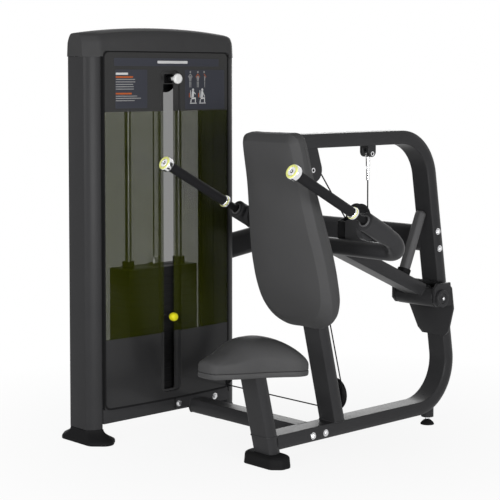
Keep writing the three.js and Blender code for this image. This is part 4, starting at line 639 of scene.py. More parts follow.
SHOE_WIDTH, SHOE_LENGTH, SHOE_RISE = 260, 118, 50
collar_half = (TOWER_HALF + 3 - TOWER_INNER_Y + 3) / 2
turn_in = min(47, collar_half * 1.6)
collar = [(-45.5, -collar_half), (45.5, -collar_half), (79, -collar_half + turn_in), (79, collar_half * 0.9),
          (76, collar_half), (-76, collar_half), (-79, collar_half * 0.9), (-79, -collar_half + turn_in)]
shoe_steps = [(0.012, 0), (0, 0.02), (0, 0.12), (0.02, 0.2), (0.06, 0.26)]
shoe_steps += [(math.sin(s * math.pi / 2), 0.24 + 0.76 * s) for s in np.linspace(0.12, 1, 14)]
for name, side in ENDS:
    low, high = (softened([(u, -side * v) for u, v in corners], 14)
                 for corners in (octagon(SHOE_WIDTH, SHOE_LENGTH, 44), collar))
    low_y, high_y = side * (TOWER_HALF + 12 - SHOE_LENGTH / 2), side * (TOWER_HALF + 3 - collar_half)
    rings = [[(TOWER_X + mix(a[0], b[0], inward), mix(low_y + a[1], high_y + b[1], inward), rise * SHOE_RISE)
              for a, b in zip(low, high)] for inward, rise in shoe_steps]
    stand_for(Form().rings(rings).make(f"tower_shoe_{name}", rubber, angle=50), f"tower_foot_{name}")

seat_foot = [(u, v + seat_post_y(42)) for u, v in octagon(190, 98, 30)]
rings = [[(u, v, z) for u, v in softened(inset(seat_foot, draw), 10)]
         for draw, z in ((1.5, 0), (0, 1.5), (1.2, 12), (2.5, 28), (4, 32), (8, 36),
                         (14, 39.5), (20, 42), (28, 42))]
stand_for(Form().rings(rings).make("seat_post_shoe", rubber, angle=50), "seat_post_foot")


def bow(y):
    return PANEL_BOW * (1 - (y / PANEL_HALF) ** 2)


def cover_rings(draw):
    """The cover's cross-sections from nose to nose, drawn in by a wall where it is hollow."""
    half_length = TOWER_HALF + 4 - draw
    low = COVER_LOW - (20 if draw else 0)
    rings = []
    for share in np.linspace(-1, 1, 61):
        y = half_length * math.sin(share * math.pi / 2)
        crown = COVER_END - draw + (COVER_CROWN - COVER_END) * (1 - (y / half_length) ** 2)
        past = max(0, abs(y) - (TOWER_HALF - NOSE_CHAMFER))
        narrow = (PANEL_DEPTH - NOSE_WIDTH / 2) * (past / NOSE_CHAMFER) ** 1.5
        half = max(PANEL_DEPTH + 4 - draw + bow(min(abs(y), PANEL_HALF)) - narrow, NOSE_WIDTH / 2 - draw)
        profile = [(half, low), (half - 3.5, crown - 28), (half - 14, crown - 7), (half / 2, crown + 2.5),
                   (0, crown + 5)]
        profile += [(-u, v) for u, v in reversed(profile[:-1])]
        rings.append([(TOWER_X + u, y, v) for u, v in eased(profile, 9, steps=5, keep=181)])
    return rings


window = rounded(2 * (PANEL_HALF + 3.3), 2 * (PANEL_HIGH - COVER_LOW + 3.3), 11, (0, COVER_LOW - 3))
cover = Form().rings(cover_rings(0)).make("cover_shell", cover_paint, angle=40)
hollow = Form().rings(cover_rings(COVER_WALL))
opening = Form().slab(window, TOWER_X - 150, TOWER_X + 150, across, ease=0.1)
carved(cover, hollow.make("cover_hollow", cover_paint), opening.make("cover_window", cover_paint), angle=40)
stand_for(cover, "tower_top_cover")


def bowed_sheet(name, finish, facing):
    """One of the two tinted panels, bowed outwards."""
    outer, inner = ([(facing * (depth + bow(y)), y) for y in np.linspace(-end, end, 61)]
                    for depth, end in ((PANEL_DEPTH, PANEL_HALF), (PANEL_DEPTH - PANEL_WALL, -PANEL_HALF)))
    return Form().slab(outer + inner, PANEL_LOW, PANEL_HIGH, in_plan, ease=0.5).make(name, finish)


panel_front_x = TOWER_X + PANEL_DEPTH + PANEL_BOW
channel_hole = rounded(CHANNEL_WIDTH + 2 * GAP, CHANNEL_HIGH - CHANNEL_LOW + 2 * GAP, 26,
                       (0, (CHANNEL_LOW + CHANNEL_HIGH) / 2))
channel_tool = Form().slab(channel_hole, TOWER_X, panel_front_x + 20, across).make("hole_a", paint)
stand_for(carved(bowed_sheet("smoked_front", smoked, 1), channel_tool, pulley_tool("hole_b")), "front_panel")
stand_for(bowed_sheet("smoked_rear", smoked_rear, -1), "rear_panel")

for node, finish, edge in (
        ("plinth_beam", paint, 0.0015), ("top_beam", paint, 0.0006),
        ("resting_plates", iron, 0.0006), ("pinned_plate", iron, 0.001), ("upper_plates", iron, 0.0006),
        ("head_plate", iron, 0.0012), ("pivot_bracket", paint, 0.0014)):
    refined(node, finish, edge)

# The knob's recess: its cut walls take the near-black pulley finish as painted shade for the dark hole behind
# the knob.
recess = Form().block((TOWER_X + 68, -RECESS_HALF, RECESS_LOW),
                      (panel_front_x + 12, RECESS_HALF, RECESS_HIGH), 1, 2.5)
refined("slot_channel", smoked, tool=recess.make("recess", paint, nylon))


# ---- Printed signs, and dark rubber edging as painted shade at the panels' edges ----
panel_x = lambda y, out: TOWER_X + PANEL_DEPTH + bow(y) + out


def print_bar(form, y0, y1, z0, z1, finish, out=0.3, corner=0.0):
    """A printed patch that follows the bowed panel, with rounded corners."""
    steps = max(2, math.ceil((y1 - y0) / 14))
    ys = [y0 + (y1 - y0) * k / steps for k in range(steps + 1)]
    if corner:
        ys = sorted(set(ys + [end + inward * corner * s for end, inward in ((y0, 1), (y1, -1))
                              for s in (0.12, 0.4, 1)]))
    rings = []
    for y in ys:
        edge = min(y - y0, y1 - y)
        cut = corner - math.sqrt(max(corner ** 2 - (corner - edge) ** 2, 0)) if edge < corner else 0
        rings.append([(panel_x(y, d), y, z) for d, z in (
            (-0.3, z0 + cut), (out, z0 + cut), (out, z1 - cut), (-0.3, z1 - cut))])
    form.rings(rings, finish)


def print_shape(form, outline, finish, y=0, z=0):
    """A small printed figure: an outline of (y, z) round a spot, laid on the bowed panel."""
    form.rings([[(panel_x(y + u, d), y + u, z + v) for u, v in outline] for d in (-0.2, 0.55)], finish)


def figure(form, y, z, shoulder, trunk, wide=True):
    """A small standing figure: head, open shoulder diamond, body and legs."""
    print_shape(form, [(u, 58 + v) for u, v in circle(3.6, 14)], trunk, y, z)
    for side in ((-1, 1) if wide else (1,)):
        for outline, finish in (
                ([(0, 52), (11, 41), (9.5, 36), (8, 41), (0, 48.5)], shoulder),
                ([(1, 44), (6.5, 40), (4, 24), (1, 24)], trunk),
                ([(1.2, 22), (4.6, 22), (4, 0), (2, 0)], trunk)):
            print_shape(form, [(side * u, v) for u, v in outline][::side], finish, y, z)


def seated(form, y, z, raised):
    """A small seated figure on a machine, its arms down or raised, with an arrow beside it."""
    arm = 30 if raised else 20
    print_shape(form, [(u, 48 + v) for u, v in circle(5, 14)], 1, y, z)
    for outline in ([(-7, 20), (3, 20), (5, 42), (-5, 43)], [(-8, 12), (14, 14), (14, 19), (-8, 19)],
                    [(10, 0), (14, 0), (14, 14), (10, 14)], [(-14, 0), (-9, 0), (-8, 12), (-12, 12)],
                    [(-16, -4), (18, -4), (18, -1), (-16, -1)], [(-13, 18), (-9, 18), (-11, 46), (-14, 46)],
                    [(2, 38), (12, arm), (14, arm + 3), (3, 42)]):
        print_shape(form, outline, 1, y, z)
    print_shape(form, [(-22, 26), (-19, 18), (-16, 26)], 2, y, z)
    print_bar(form, y - 20.2, y - 17.8, z + 26, z + 36, 2, 0.5)


signs = Form()
for y0, y1, z0, z1, finish, out, corner in (
        (-256, 249, 1370, 1399, 0, 0.25, 4), (-251, -110, 1216, 1357, 0, 0.25, 4),
        (71, 281, 1209, 1357, 0, 0.25, 4),
        (-62, 84, 1380, 1390, 1, 0.5, 2), (-249, -196, 1338, 1346, 1, 0.5, 1),
        (-249, -174, 1327, 1333, 2, 0.5, 1), (-249, -180, 1267, 1273, 2, 0.5, 1)):
    print_bar(signs, y0, y1, z0, z1, finish, out, corner)
for z, end in ((1320, -165), (1311, -164), (1302, -174), (1293.5, -171), (1285, -171),
               (1259.5, -156), (1251.5, -139), (1243, -167)):
    print_bar(signs, -249, end, z, z + 2.8, 3, 0.5)
for y, shoulder, wide in ((98, 3, True), (137, 2, True), (170, 2, False)):
    figure(signs, y, 1291, shoulder, 3, wide)
for y, raised in ((112, True), (160, False)):
    seated(signs, y, 1234, raised)
carried(signs.make("panel_signs", ink_slate, ink_white, ink_orange, ink_grey), "frame")

# Dark rubber edging beside both panels and round the front one: painted shade that stands in for the shadow line
# of the gap at the panel's edge.
shade_edging = Form()
for side in (-1, 1):
    for face in (-1, 1):
        ys = sorted((side * 303.6, side * 296))
        xs = sorted(TOWER_X + face * (PANEL_DEPTH - back) for back in (16, 2.5))
        shade_edging.block((xs[0], ys[0], PANEL_LOW + 2), (xs[1], ys[1], PANEL_HIGH - 2), ease=0.8)


def parted(path):
    """The same path with its long sides cut up, so that it can follow the panel's bow."""
    result = []
    for a, b in zip(path, path[1:] + path[:1]):
        cuts = 24 if math.dist(a, b) > 100 else 1
        result += [(mix(a[0], b[0], i / cuts), mix(a[1], b[1], i / cuts)) for i in range(cuts)]
    return result


shade_edge_paths = [parted(rounded(2 * (PANEL_HALF + grow), PANEL_HIGH - PANEL_LOW + 2 * grow, 24 + grow,
                             (0, (PANEL_LOW + PANEL_HIGH) / 2))) for grow in (2.6, -4.4)]
shade_edge_rings = [[(panel_x(v, d), v, z) for (v, z), d in ((outer, -1), (outer, 0.8), (inner, 0.8), (inner, -1))]
        for outer, inner in zip(*shade_edge_paths)]
shade_edging.rings(shade_edge_rings + shade_edge_rings[:1], caps=False)
carried(shade_edging.make("panel_shade_edging", rubber), "frame")


# ---- Weight stack, rods and selector ----
for name, side in ENDS:
    spot = ((TOWER_X, side * ROD_Y, ROD_LOW), Z)
    rod = Form().turned([(ROD_RADIUS, 0), (ROD_RADIUS, ROD_LENGTH)], *spot)
    stand_for(rod.make(f"ground_rod_{name}", rod_steel), f"guide_rod_{name}")
    pad = Form().turned([(12.9, 0), (28, 0), (28, 22), (24, 30.4), (12.9, 30.4)], *spot,
                        closed=True, ease=2.5)
    stand_for(pad.make(f"rubber_stop_{name}", rubber), f"stack_buffer_{name}")
refined("selector_stem", chrome, 0.0006)

pin_z = STACK_LOW + (REST_PLATES + 0.5) * PLATE
plate_face = TOWER_X + PLATE_DEPTH / 2
knob_x = panel_front_x - CHANNEL_DEPTH + 15
pin = Form().turned([(1, 0), (4.75, 5), (4.75, knob_x - plate_face + 98)],
                    (plate_face - 96, 0, pin_z), X, 24, 0)
pin.turned([(9, 0), (13, 3), (16, 9), (16, 19), (13.5, 26), (9, 29.5), (1, 30)],
           (knob_x, 0, pin_z), X, 40, 1, 3)
pin.turned([(7, -9), (7, 1)], (knob_x, 0, pin_z), X, 6, 0)
stand_for(pin.make("selector_pin_knob", zinc, yellow), "selector_pin")

knob = Form()
knob_spot = ((panel_front_x + GAP - CHANNEL_DEPTH + 3 - 26, 0, KNOB_Z), X)
for profile, sides, finish, ease in (
        ([(4.75, 0), (4.75, 72)], 24, 0, 0.6), ([(10, 26.4), (10, 46), (8, 50)], 6, 2, 0.8),
        ([(7, 50), (7, 60), (15, 70), (15, 72), (19, 76), (19, 83), (17, 86.5), (11, 88), (1, 88)],
         48, 1, 1.5)):
    knob.turned(profile, *knob_spot, sides, finish, ease)
stand_for(knob.make("addon_knob_disc", zinc, white, nylon), "addon_knob")


# ---- Pulleys and their cable ----
for name, node, (x, y, z, radius), axis in (
        ("movable", "movable_pulley", MOVABLE, X), ("upper", "upper_pulley", UPPER, X),
        ("lower", "lower_pulley", LOWER, Y), ("base", "tower_base_pulley", BASE, Y),
        ("top_rear", "tower_top_pulley_rear", TOP_REAR, X),
        ("top_middle", "tower_top_pulley_middle", TOP_MIDDLE, X)):
    half, rim, groove = PULLEY_WIDTH / 2, radius + PULLEY_RIM, radius - CABLE / 2 - 0.6
    profile = [(11, -half + 2), (15, -half), (18, -half + 5), (groove - 8, -half + 6), (groove - 2, -half),
               (rim, -half), (rim, -half + 2), (groove, -3)]
    profile += [(u, -v) for u, v in reversed(profile)]
    body = Form().turned(profile, (x, y, z), axis, 64, 0, 1.2, closed=True)
    body.turned([(6.4, -half + 0.5), (11.2, -half + 0.5), (11.2, half - 0.5), (6.4, half - 0.5)],
                (x, y, z), axis, 40, 1, 0.6, closed=True)
    stand_for(body.make(f"{name}_wheel", nylon, zinc), node)

cable_round = circle(CABLE / 2, 12)
half_turn, quarter = math.pi, math.pi / 2


def wrapped(pulley, into, inward, turn):
    centre, radius = Vector(pulley[:3]), pulley[3]
    return turned_arc(centre - inward * radius, into, inward, radius, turn, 28)


def line(start, end):
    start, end = Vector(start), Vector(end)
    return [(start, (end - start).normalized()), (end, (end - start).normalized())]


def cable(name, *runs):
    return Form().swept(cable_round, split_long([s for r in runs for s in r], 14), X).make(name, coat_black)


apart = Vector(UPPER[:3]) - Vector(MOVABLE[:3])
front_angle = math.atan2(apart.z, apart.y) - math.asin((MOVABLE[3] + UPPER[3]) / apart.length)
drop_angle = math.atan2(UPPER[2] - LOWER[2], UPPER[1] - UPPER[3] - LOWER[1])
in_plane = lambda a: Vector((0, math.cos(a), math.sin(a)))
movable_arc = wrapped(MOVABLE, -Z, -Y, quarter + half_turn - front_angle)
upper_arc = wrapped(UPPER, in_plane(front_angle), in_plane(front_angle + quarter),
                    drop_angle + half_turn - front_angle)
anchor_end = Vector((0, ANCHOR_Y, TURNBUCKLE_LOW - GAP))

around = cable("cable_round_movable", movable_arc)
stand_for(around, "cable_front")
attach(around, "press_arm")
for name, ends, bodies in (
        ("cable_from_anchor", (anchor_end, movable_arc[0][0]), ("frame", "press_arm")),
        ("cable_to_upper", (movable_arc[-1][0], upper_arc[0][0]), ("press_arm", "frame"))):
    stretch = cable(name, line(*ends))
    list(bodies)
    at(*ends[0])
    at(*ends[1])
    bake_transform(stretch)
through_frame = cable(
    "cable_through_frame", upper_arc, wrapped(LOWER, -Z, -X, quarter), wrapped(BASE, -X, Z, quarter),
    wrapped(TOP_REAR, Z, -Y, quarter), wrapped(TOP_MIDDLE, -Y, -Z, quarter))
stand_for(through_frame, "cable_fixed")
stack_cable = cable("cable_to_stack", line((TOWER_X, 0, TOP_REAR[2] - GAP), (TOWER_X, 0, STEM_TOP)))
stand_for(stack_cable, "cable_stack")
at(TOWER_X, 0, 1328)
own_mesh(stack_cable)

refined("pivot_shaft", paint, 0.0006)

hanger = [(459, 1083), (419, 1083)] + arc((ANCHOR_Y, 1060), 20, math.pi, 2 * math.pi, 18)
clevis = Form().cheeks(hanger, 8, 22, ease=1.2).block((-9, 419.5, 1071), (9, 458.5, 1082.6))
stand_for(clevis.make("clevis_hanger", paint), "anchor_clevis")

fitting = Form().turned(
    [(1, 0), (5, 0), (6.4, 3), (6.4, 43), (4, 44.6), (4, 51), (7, 52.5), (8, 54), (8, 86), (6, 90)],
    (0, ANCHOR_Y, TURNBUCKLE_LOW), Z, 32, 0, 0.8)
fitting.turned([(6.4, -7), (12, -7), (12, 7), (6.4, 7)], (0, ANCHOR_Y, ANCHOR_BOLT_Z), X,
               40, 0, 1.5, closed=True)
for height in (9, 18, 27, 36):
    for way in (0.7, -0.7):
        fitting.turned([(2.2, 5.4), (2.2, 6.7)], (0, ANCHOR_Y, TURNBUCKLE_LOW + height),
                       (way, -way, 0), 16, 1, 0.2)
stand_for(fitting.make("cable_turnbuckle", chrome, nylon), "cable_end_fitting")


# ---- Press arm ----
beam_root, cross_centre = Vector((0, PIVOT_Y, PIVOT_Z + 18)), Vector((0, CROSS_TUBE_Y, CROSS_TUBE_Z))
beam_dir = (cross_centre - beam_root).normalized()
beam_up = Vector((0, beam_dir.z, -beam_dir.y))
on_beam = lambda along, up: beam_root + beam_dir * along + beam_up * up

beam = Form().swept(oval, bent([on_beam(17, 0), cross_centre]), X)
beam.turned([(15.4, -90), (PIVOT_SLEEVE, -90), (PIVOT_SLEEVE, 90), (15.4, 90)],
            (0, PIVOT_Y, PIVOT_Z), X, 64, 0, 1.4, closed=True)
ear = [(300, 727), (300, 815)] + arc(MOVABLE[1:3], 24, 0.75 * math.pi, 0, 14) + [(413, 684), (377, 684)]
beam.cheeks(ear, cheek_inner, cheek_inner + CHEEK_WALL)
beam.block((-cheek_inner - 2.5, 300, 752), (cheek_inner + 2.5, 305, 815))
beam.turned([(6, -24), (6, 24)], MOVABLE[:3], X)
stand_for(beam.make("press_beam_tube", paint), "press_beam")

handle_dir = Vector((0, -math.cos(HANDLE_TILT), math.sin(HANDLE_TILT)))
on_handle = lambda side, along: Vector((side * HANDLE_X, KNUCKLE_Y, KNUCKLE_Z)) + handle_dir * along
arm_corners = [(on_handle(s, -58.3), on_handle(s, (KNUCKLE_Y - 215) / math.cos(HANDLE_TILT)),
                Vector((s * HANDLE_X, CROSS_TUBE_Y, CROSS_TUBE_Z))) for s in (-1, 1)]
tube("arm_tube", "arm_frame", [*arm_corners[0], *arm_corners[1][::-1]], circle(CROSS_RADIUS, 48), X, 62, 24)


def merged(name, *pieces):
    """Several closed pieces with the same finishes as one."""
    shape = bmesh.new()
    for piece in pieces:
        shape.from_mesh(piece.data)
    mesh = bpy.data.meshes.new(name)
    shape.to_mesh(mesh)
    shape.free()
    finishes = list(pieces[0].data.materials)
    for piece in pieces:
        bpy.data.objects.remove(piece)
    return shown(name, creased(mesh), *finishes)


HANDLE_PARTS = (  # profile, sides, finish, ease, closed
    ([(12.5, -21.7), (12.5, 122)], 40, 0, 0.4, False),
    ([(12.7, 120), (22, 120), (22, 126), (12.7, 126)], 56, 1, 1.2, True),
    ([(12.7, 126.2), (21.4, 126.2), (21.4, 129), (12.7, 129)], 56, 2, 0.6, True),
    ([(12.7, 129.2), (20.4, 129.2), (18.6, 134), (12.7, 134)], 56, 1, 0.8, True),
    ([(12.5, 130), (12.5, 426)], 40, 0, 0.4, False),
    ([(24, 424), (26, 427), (26, 442), (24.5, 445), (19, 446)], 64, 1, 1.2, False),
    ([(15.6, 444.5), (24.5, 444.5), (22.9, 447.6), (16.6, 447.9), (15.6, 447.2)], 64, 2, 0.7, True),
    ([(15.4, 445), (15.4, 446.9), (9, 447.6), (8.2, 446.6)], 56, 1, 0.5, False),
    ([(6, 446), (6, 447.3), (3.4, 447.3)], 28, 0, 0.2, False),
    ([(3.6, 446), (3.6, 447.8), (2.6, 448)], 24, 1, 0.2, False))
slot_up = Vector((0, math.sin(HANDLE_TILT), math.cos(HANDLE_TILT)))
for name, side in (("left", -1), ("right", 1)):
    sleeve = Form().turned([(KNUCKLE_RADIUS, 0), (KNUCKLE_RADIUS, KNUCKLE_LENGTH), (20, KNUCKLE_LENGTH)],
                           on_handle(side, -KNUCKLE_LENGTH / 2), handle_dir, 64, 0, 2.5)
    sleeve = sleeve.make("sleeve", paint, dark_steel)
    slot_place = lambda u, v, d: on_handle(side, 4) + X * u + handle_dir * v + slot_up * d
    slot = Form().slab(rounded(12, 56, 5.5), KNUCKLE_RADIUS - 10, KNUCKLE_RADIUS + 20, slot_place, ease=0.3)
    bore = Form().turned([(16, 0), (16, 60)], on_handle(side, 48), handle_dir, 40)
    carved(sleeve, slot.make("slot", paint), bore.make("bore", paint))
    extras = Form().turned([(16.5, 0), (21, 0), (21, 7), (16.5, 7)], on_handle(side, 58), handle_dir,
                           48, 1, 1.4, closed=True)
    cheek_x = side * (HANDLE_X - KNUCKLE_RADIUS + 7)
    extras.turned([(44, 0), (44, 21)], (cheek_x - side * 21, KNUCKLE_Y, KNUCKLE_Z), X * side, 64, 0, 2.5)
    for along in (14, -14):
        extras.turned([(7, 0), (7, 4)], slot_place(0, along, KNUCKLE_RADIUS - 10.5), slot_up, 6, 1, 0.8)
    knuckle = merged(f"knuckle_sleeve_{name}", sleeve, extras.make("extras", paint, dark_steel))
    stand_for(knuckle, f"knuckle_{name}")

    bar = Form()
    for profile, sides, finish, ease, closed in HANDLE_PARTS:
        bar.turned(profile, on_handle(side, 0), handle_dir, sides, finish, ease, closed)
    stand_for(bar.make(f"handle_bar_metal_{name}", nylon, chrome, lime), f"handle_bar_{name}")

    grip = Form().turned([(12.9, 134.4), (16.2, 134.4), (17, 137), (17, 421), (16.2, 423.6), (12.9, 423.6)],
                         on_handle(side, 0), handle_dir, 56, 0, 1.2, closed=True)
    stand_for(grip.make(f"grip_sleeve_{name}", foam), f"grip_{name}")

STOP_ALONG, STOP_UP = 114, 48.6
stop_section = flat_oval(42, 34, 11, 2.4)
stop_steps = [(0, 1), (0.4, 1), (200, 1)]
stop_steps += [(218 + 13 * math.sin(a), 0.25 + 0.75 * math.cos(a)) for a in np.linspace(0, 1.35, 9)]
stop_rings = [[on_beam(STOP_ALONG, STOP_UP + up) + X * u * share + beam_dir * v * share
               for u, v in stop_section] for up, share in stop_steps]
stand_for(Form().rings(stop_rings).make("stop_tube_painted", dark_steel, angle=50), "stop_tube")
tube("stop_pad", "stop_bumper", [on_beam(STOP_ALONG, up) for up in (25.3, STOP_UP - GAP)],
     flat_oval(50, 42, 11, 3), finish=rubber)


# ---- Repeated hardware, grown by Geometry Nodes ----
def grower(name, sizes):
    """An empty tree with named inputs, and helpers that add a node and a Math node to it."""
    tree = bpy.data.node_groups.new(name, "GeometryNodeTree")
    tree.interface.new_socket("Geometry", in_out="INPUT", socket_type="NodeSocketGeometry")
    for key, value in sizes.items():
        kind = "NodeSocketInt" if isinstance(value, int) else "NodeSocketFloat"
        tree.interface.new_socket(key, in_out="INPUT", socket_type=kind)
    tree.interface.new_socket("Geometry", in_out="OUTPUT", socket_type="NodeSocketGeometry")
    given = tree.nodes.new("NodeGroupInput").outputs

    def grow(kind, inputs=None, output=0, **settings):
        made = tree.nodes.new(kind)
        for key, value in settings.items():
            setattr(made, key, value)
        for key, value in (inputs or {}).items():
            for source in value if isinstance(value, list) else [value]:
                if isinstance(source, bpy.types.NodeSocket):
                    tree.links.new(source, made.inputs[key])
                else:
                    made.inputs[key].default_value = source
        return made.outputs[output]

    def maths(operation, *values):
        return grow("ShaderNodeMath", dict(enumerate(values)), operation=operation)

    return tree, given, grow, maths


def finish_tree(tree, grow, geometry, finish):
    real = grow("GeometryNodeRealizeInstances", {"Geometry": geometry})
    done = grow("GeometryNodeSetMaterial", {"Geometry": real, "Material": finish})
    tree.links.new(done, tree.nodes.new("NodeGroupOutput").inputs[0])
    return tree


BOLT = {"Sides": 6, "Head Radius": 0.0095, "Head Height": 0.0065,
        "Washer Radius": 0.0125, "Washer Height": 0.0018}
SCREW = {"Sides": 24, "Head Radius": 0.0042, "Head Height": 0.003,
         "Washer Radius": 0.0062, "Washer Height": 0.001}
WELD = {"Bead Radius": 0.0028, "Ripple Length": 0.0045, "Ripple Share": 0.14}


def bolt_tree(finish):
    """A chamfered head on a washer at every point, turned to the point's facing and spun at random."""
    tree, given, grow, maths = grower("bolts", BOLT)

    def lifted(geometry, height):
        return grow("GeometryNodeTransform", {
            "Geometry": geometry, "Translation": grow("ShaderNodeCombineXYZ", {"Z": height})})

    base = grow("GeometryNodeMeshCircle", {"Vertices": given["Sides"], "Radius": given["Head Radius"]},
                fill_type="NGON")
    walls = grow("GeometryNodeExtrudeMesh", {
        "Mesh": base, "Offset Scale": maths("MULTIPLY", given["Head Height"], 0.72)})
    top = grow("GeometryNodeExtrudeMesh", {
        "Mesh": walls, "Selection": walls.node.outputs["Top"],
        "Offset Scale": maths("MULTIPLY", given["Head Height"], 0.28)})
    head = grow("GeometryNodeScaleElements", {
        "Geometry": top, "Selection": top.node.outputs["Top"], "Scale": 0.74})
    head = grow("GeometryNodeJoinGeometry", {0: [grow("GeometryNodeFlipFaces", {"Mesh": base}), head]})
    head = lifted(grow("GeometryNodeMergeByDistance", {"Geometry": head, "Distance": 0.00001}),
                  given["Washer Height"])
    washer = grow("GeometryNodeMeshCylinder", {
        "Vertices": 32, "Radius": given["Washer Radius"], "Depth": given["Washer Height"]})
    washer = lifted(washer, maths("MULTIPLY", given["Washer Height"], 0.5))
    bolt = grow("GeometryNodeJoinGeometry", {0: [head, washer]})
    facing = grow("GeometryNodeInputNamedAttribute", {"Name": "facing"}, data_type="FLOAT_VECTOR")
    turned = grow("FunctionNodeAlignRotationToVector", {"Vector": facing}, axis="Z")
    spin = grow("FunctionNodeRandomValue", {"Seed": 7}, 1, data_type="FLOAT")
    spun = grow("FunctionNodeAxisAngleToRotation", {
        "Axis": (0, 0, 1), "Angle": maths("MULTIPLY", spin, math.pi / 3)})
    turned = grow("FunctionNodeRotateRotation", {"Rotation": turned, "Rotate By": spun},
                  rotation_space="LOCAL")
    placed = grow("GeometryNodeInstanceOnPoints", {
        "Points": given["Geometry"], "Instance": bolt, "Rotation": turned})
    return finish_tree(tree, grow, placed, finish)


def weld_tree(finish):
    """A rippled bead along every edge path."""
    tree, given, grow, maths = grower("welds", WELD)
    path = grow("GeometryNodeMeshToCurve", {"Mesh": given["Geometry"]})
    path = grow("GeometryNodeResampleCurve", {
        "Curve": path, "Length": maths("MULTIPLY", given["Ripple Length"], 0.25)}, mode="LENGTH")
    ripples = maths("DIVIDE", grow("GeometryNodeSplineParameter", output=1), given["Ripple Length"])
    wave = maths("SINE", maths("MULTIPLY", ripples, 2 * math.pi))
    path = grow("GeometryNodeSetCurveRadius", {
        "Curve": path, "Radius": maths("MULTIPLY_ADD", wave, given["Ripple Share"], 1.0)})
    bead = grow("GeometryNodeCurvePrimitiveCircle", {"Resolution": 10, "Radius": given["Bead Radius"]})
    swept = grow("GeometryNodeCurveToMesh", {"Curve": path, "Profile Curve": bead, "Fill Caps": True})
    return finish_tree(tree, grow, swept, finish)


def grown(name, tree, sizes, points, edges, body, facing=None):
    """The tree's result on these points (millimetres) and edges, as one plain mesh on a body."""
    mesh = bpy.data.meshes.new(name)
    mesh.from_pydata([at(*p) for p in points], edges, [])
    if facing:
        mesh.attributes.new("facing", "FLOAT_VECTOR", "POINT").data.foreach_set(
            "vector", [c for d in facing for c in d])
    piece = shown(name, mesh)
    growth = piece.modifiers.new("growth", "NODES")
    growth.node_group = tree
    for item in tree.interface.items_tree:
        if item.in_out == "INPUT" and item.name in sizes:
            growth[item.identifier] = sizes[item.name]
    settled(piece)
    creased(piece.data)
    carried(piece, body)


bolts, welds = bolt_tree(zinc), weld_tree(paint)
side_bolts = [(45.7, 111, 76), (45.7, 174, 76), (45.6, 783, 746), (45.6, 794, 680),
              (PLINTH_FACE + 9, 45, 95), (PLINTH_FACE + 9, 227, 95)]
grown("frame_bolts", bolts, BOLT, side_bolts, [], "frame", [X] * len(side_bolts))
screw_spots = [(x, PIVOT_Y, PIVOT_Z) for x in (120, -110)]
grown("pivot_screws", bolts, SCREW, screw_spots, [], "press_arm", [X, -X])


def ring_path(section, centre, direction, plane, side=X):
    """A section's outline where it meets a plane."""
    normal = (side - direction * direction.dot(side)).normalized()
    other = direction.cross(normal)
    return moved_to([Vector(centre) + normal * u + other * v for u, v in section], direction, plane)


def welded(name, body, rings):
    points, edges = [], []
    for ring in rings:
        start, count = len(points), len(ring)
        points += ring
        edges += [(start + i, start + (i + 1) % count) for i in range(count)]
    grown(name, welds, WELD, points, edges, body)


beam_top = BEAM_Z + TUBE_DEPTH / 2
rear_face = Vector((0, math.cos(POST_LEAN), math.sin(POST_LEAN)))
loop_end = Vector((0, back_post_y(LOOP_TOP_Z), LOOP_TOP_Z))
welded("frame_welds", "frame", [
    *(ring_path(oval, (0, post_y(beam_top), beam_top), lean, level_cut(beam_top))
      for post_y in (seat_post_y, back_post_y)),
    ring_path(oval, loop_end + Y * 30, Y, (loop_end + rear_face * TUBE_DEPTH / 2, rear_face)),
    ring_path(flat_oval(CROSS_WIDTH), (PLINTH_FACE + 9, CROSS_Y, BEAM_Z), X,
              ((PLINTH_FACE + 9.3, 0, 0), X), Y)])
sleeve_ring = []
for p in ring_path(oval, on_beam(30, 0), beam_dir, (on_beam(30, 0), beam_dir)):
    reach = p - Vector((0, PIVOT_Y, PIVOT_Z))
    on_sleeve = math.sqrt(max(PIVOT_SLEEVE ** 2 - beam_up.dot(reach) ** 2, 0))
    sleeve_ring.append(p + beam_dir * (on_sleeve - beam_dir.dot(reach)))
welded("arm_welds", "press_arm", [sleeve_ring])

eyes = Form()
for spot in ((cheek_inner + CHEEK_WALL, *UPPER[1:3]), (22, ANCHOR_Y, ANCHOR_BOLT_Z)):
    eyes.turned([(5, -0.4), (9, -0.4), (9, 1.6), (5, 1.6)], spot, X, 40, 0, 0.6, closed=True)
    eyes.turned([(5, -0.3), (5, 0.6)], spot, X, 24, 1, 0.1)
carried(eyes.make("axle_eyes", zinc, nylon), "frame")


# ---- Seat and backrest ----
def through(points, count):
    """Evenly spaced points on a smooth curve through the given ones."""
    line = [Vector((*p, 0)) for p in points]
    line = [line[0] * 2 - line[1], *line, line[-1] * 2 - line[-2]]
    dense = []
    for a, b, c, d in zip(line, line[1:], line[2:], line[3:]):
        t = np.cumsum([0] + [(q - p).length ** 0.5 for p, q in ((a, b), (b, c), (c, d))])
        for s in np.linspace(t[1], t[2], 25)[:-1]:
            p, q = a.lerp(b, s / t[1]), b.lerp(c, (s - t[1]) / (t[2] - t[1]))
            r = c.lerp(d, (s - t[2]) / (t[3] - t[2]))
            p, q = p.lerp(q, s / t[2]), q.lerp(r, (s - t[1]) / (t[3] - t[1]))
            dense.append(p.lerp(q, (s - t[1]) / (t[2] - t[1])))
    dense.append(line[-2])
    run = np.cumsum([0] + [(q - p).length for p, q in zip(dense, dense[1:])])
    even = np.linspace(0, run[-1], count + 1)
    return list(zip(*(np.interp(even, run, [p[k] for p in dense]) for k in (0, 1))))


def mirrored(half, count=64):
    right = [(max(0, u), v) for u, v in through(half, count)]
    right[0], right[-1] = (0, right[0][1]), (0, right[-1][1])
    return right + [(-u, v) for u, v in right[-2:0:-1]]


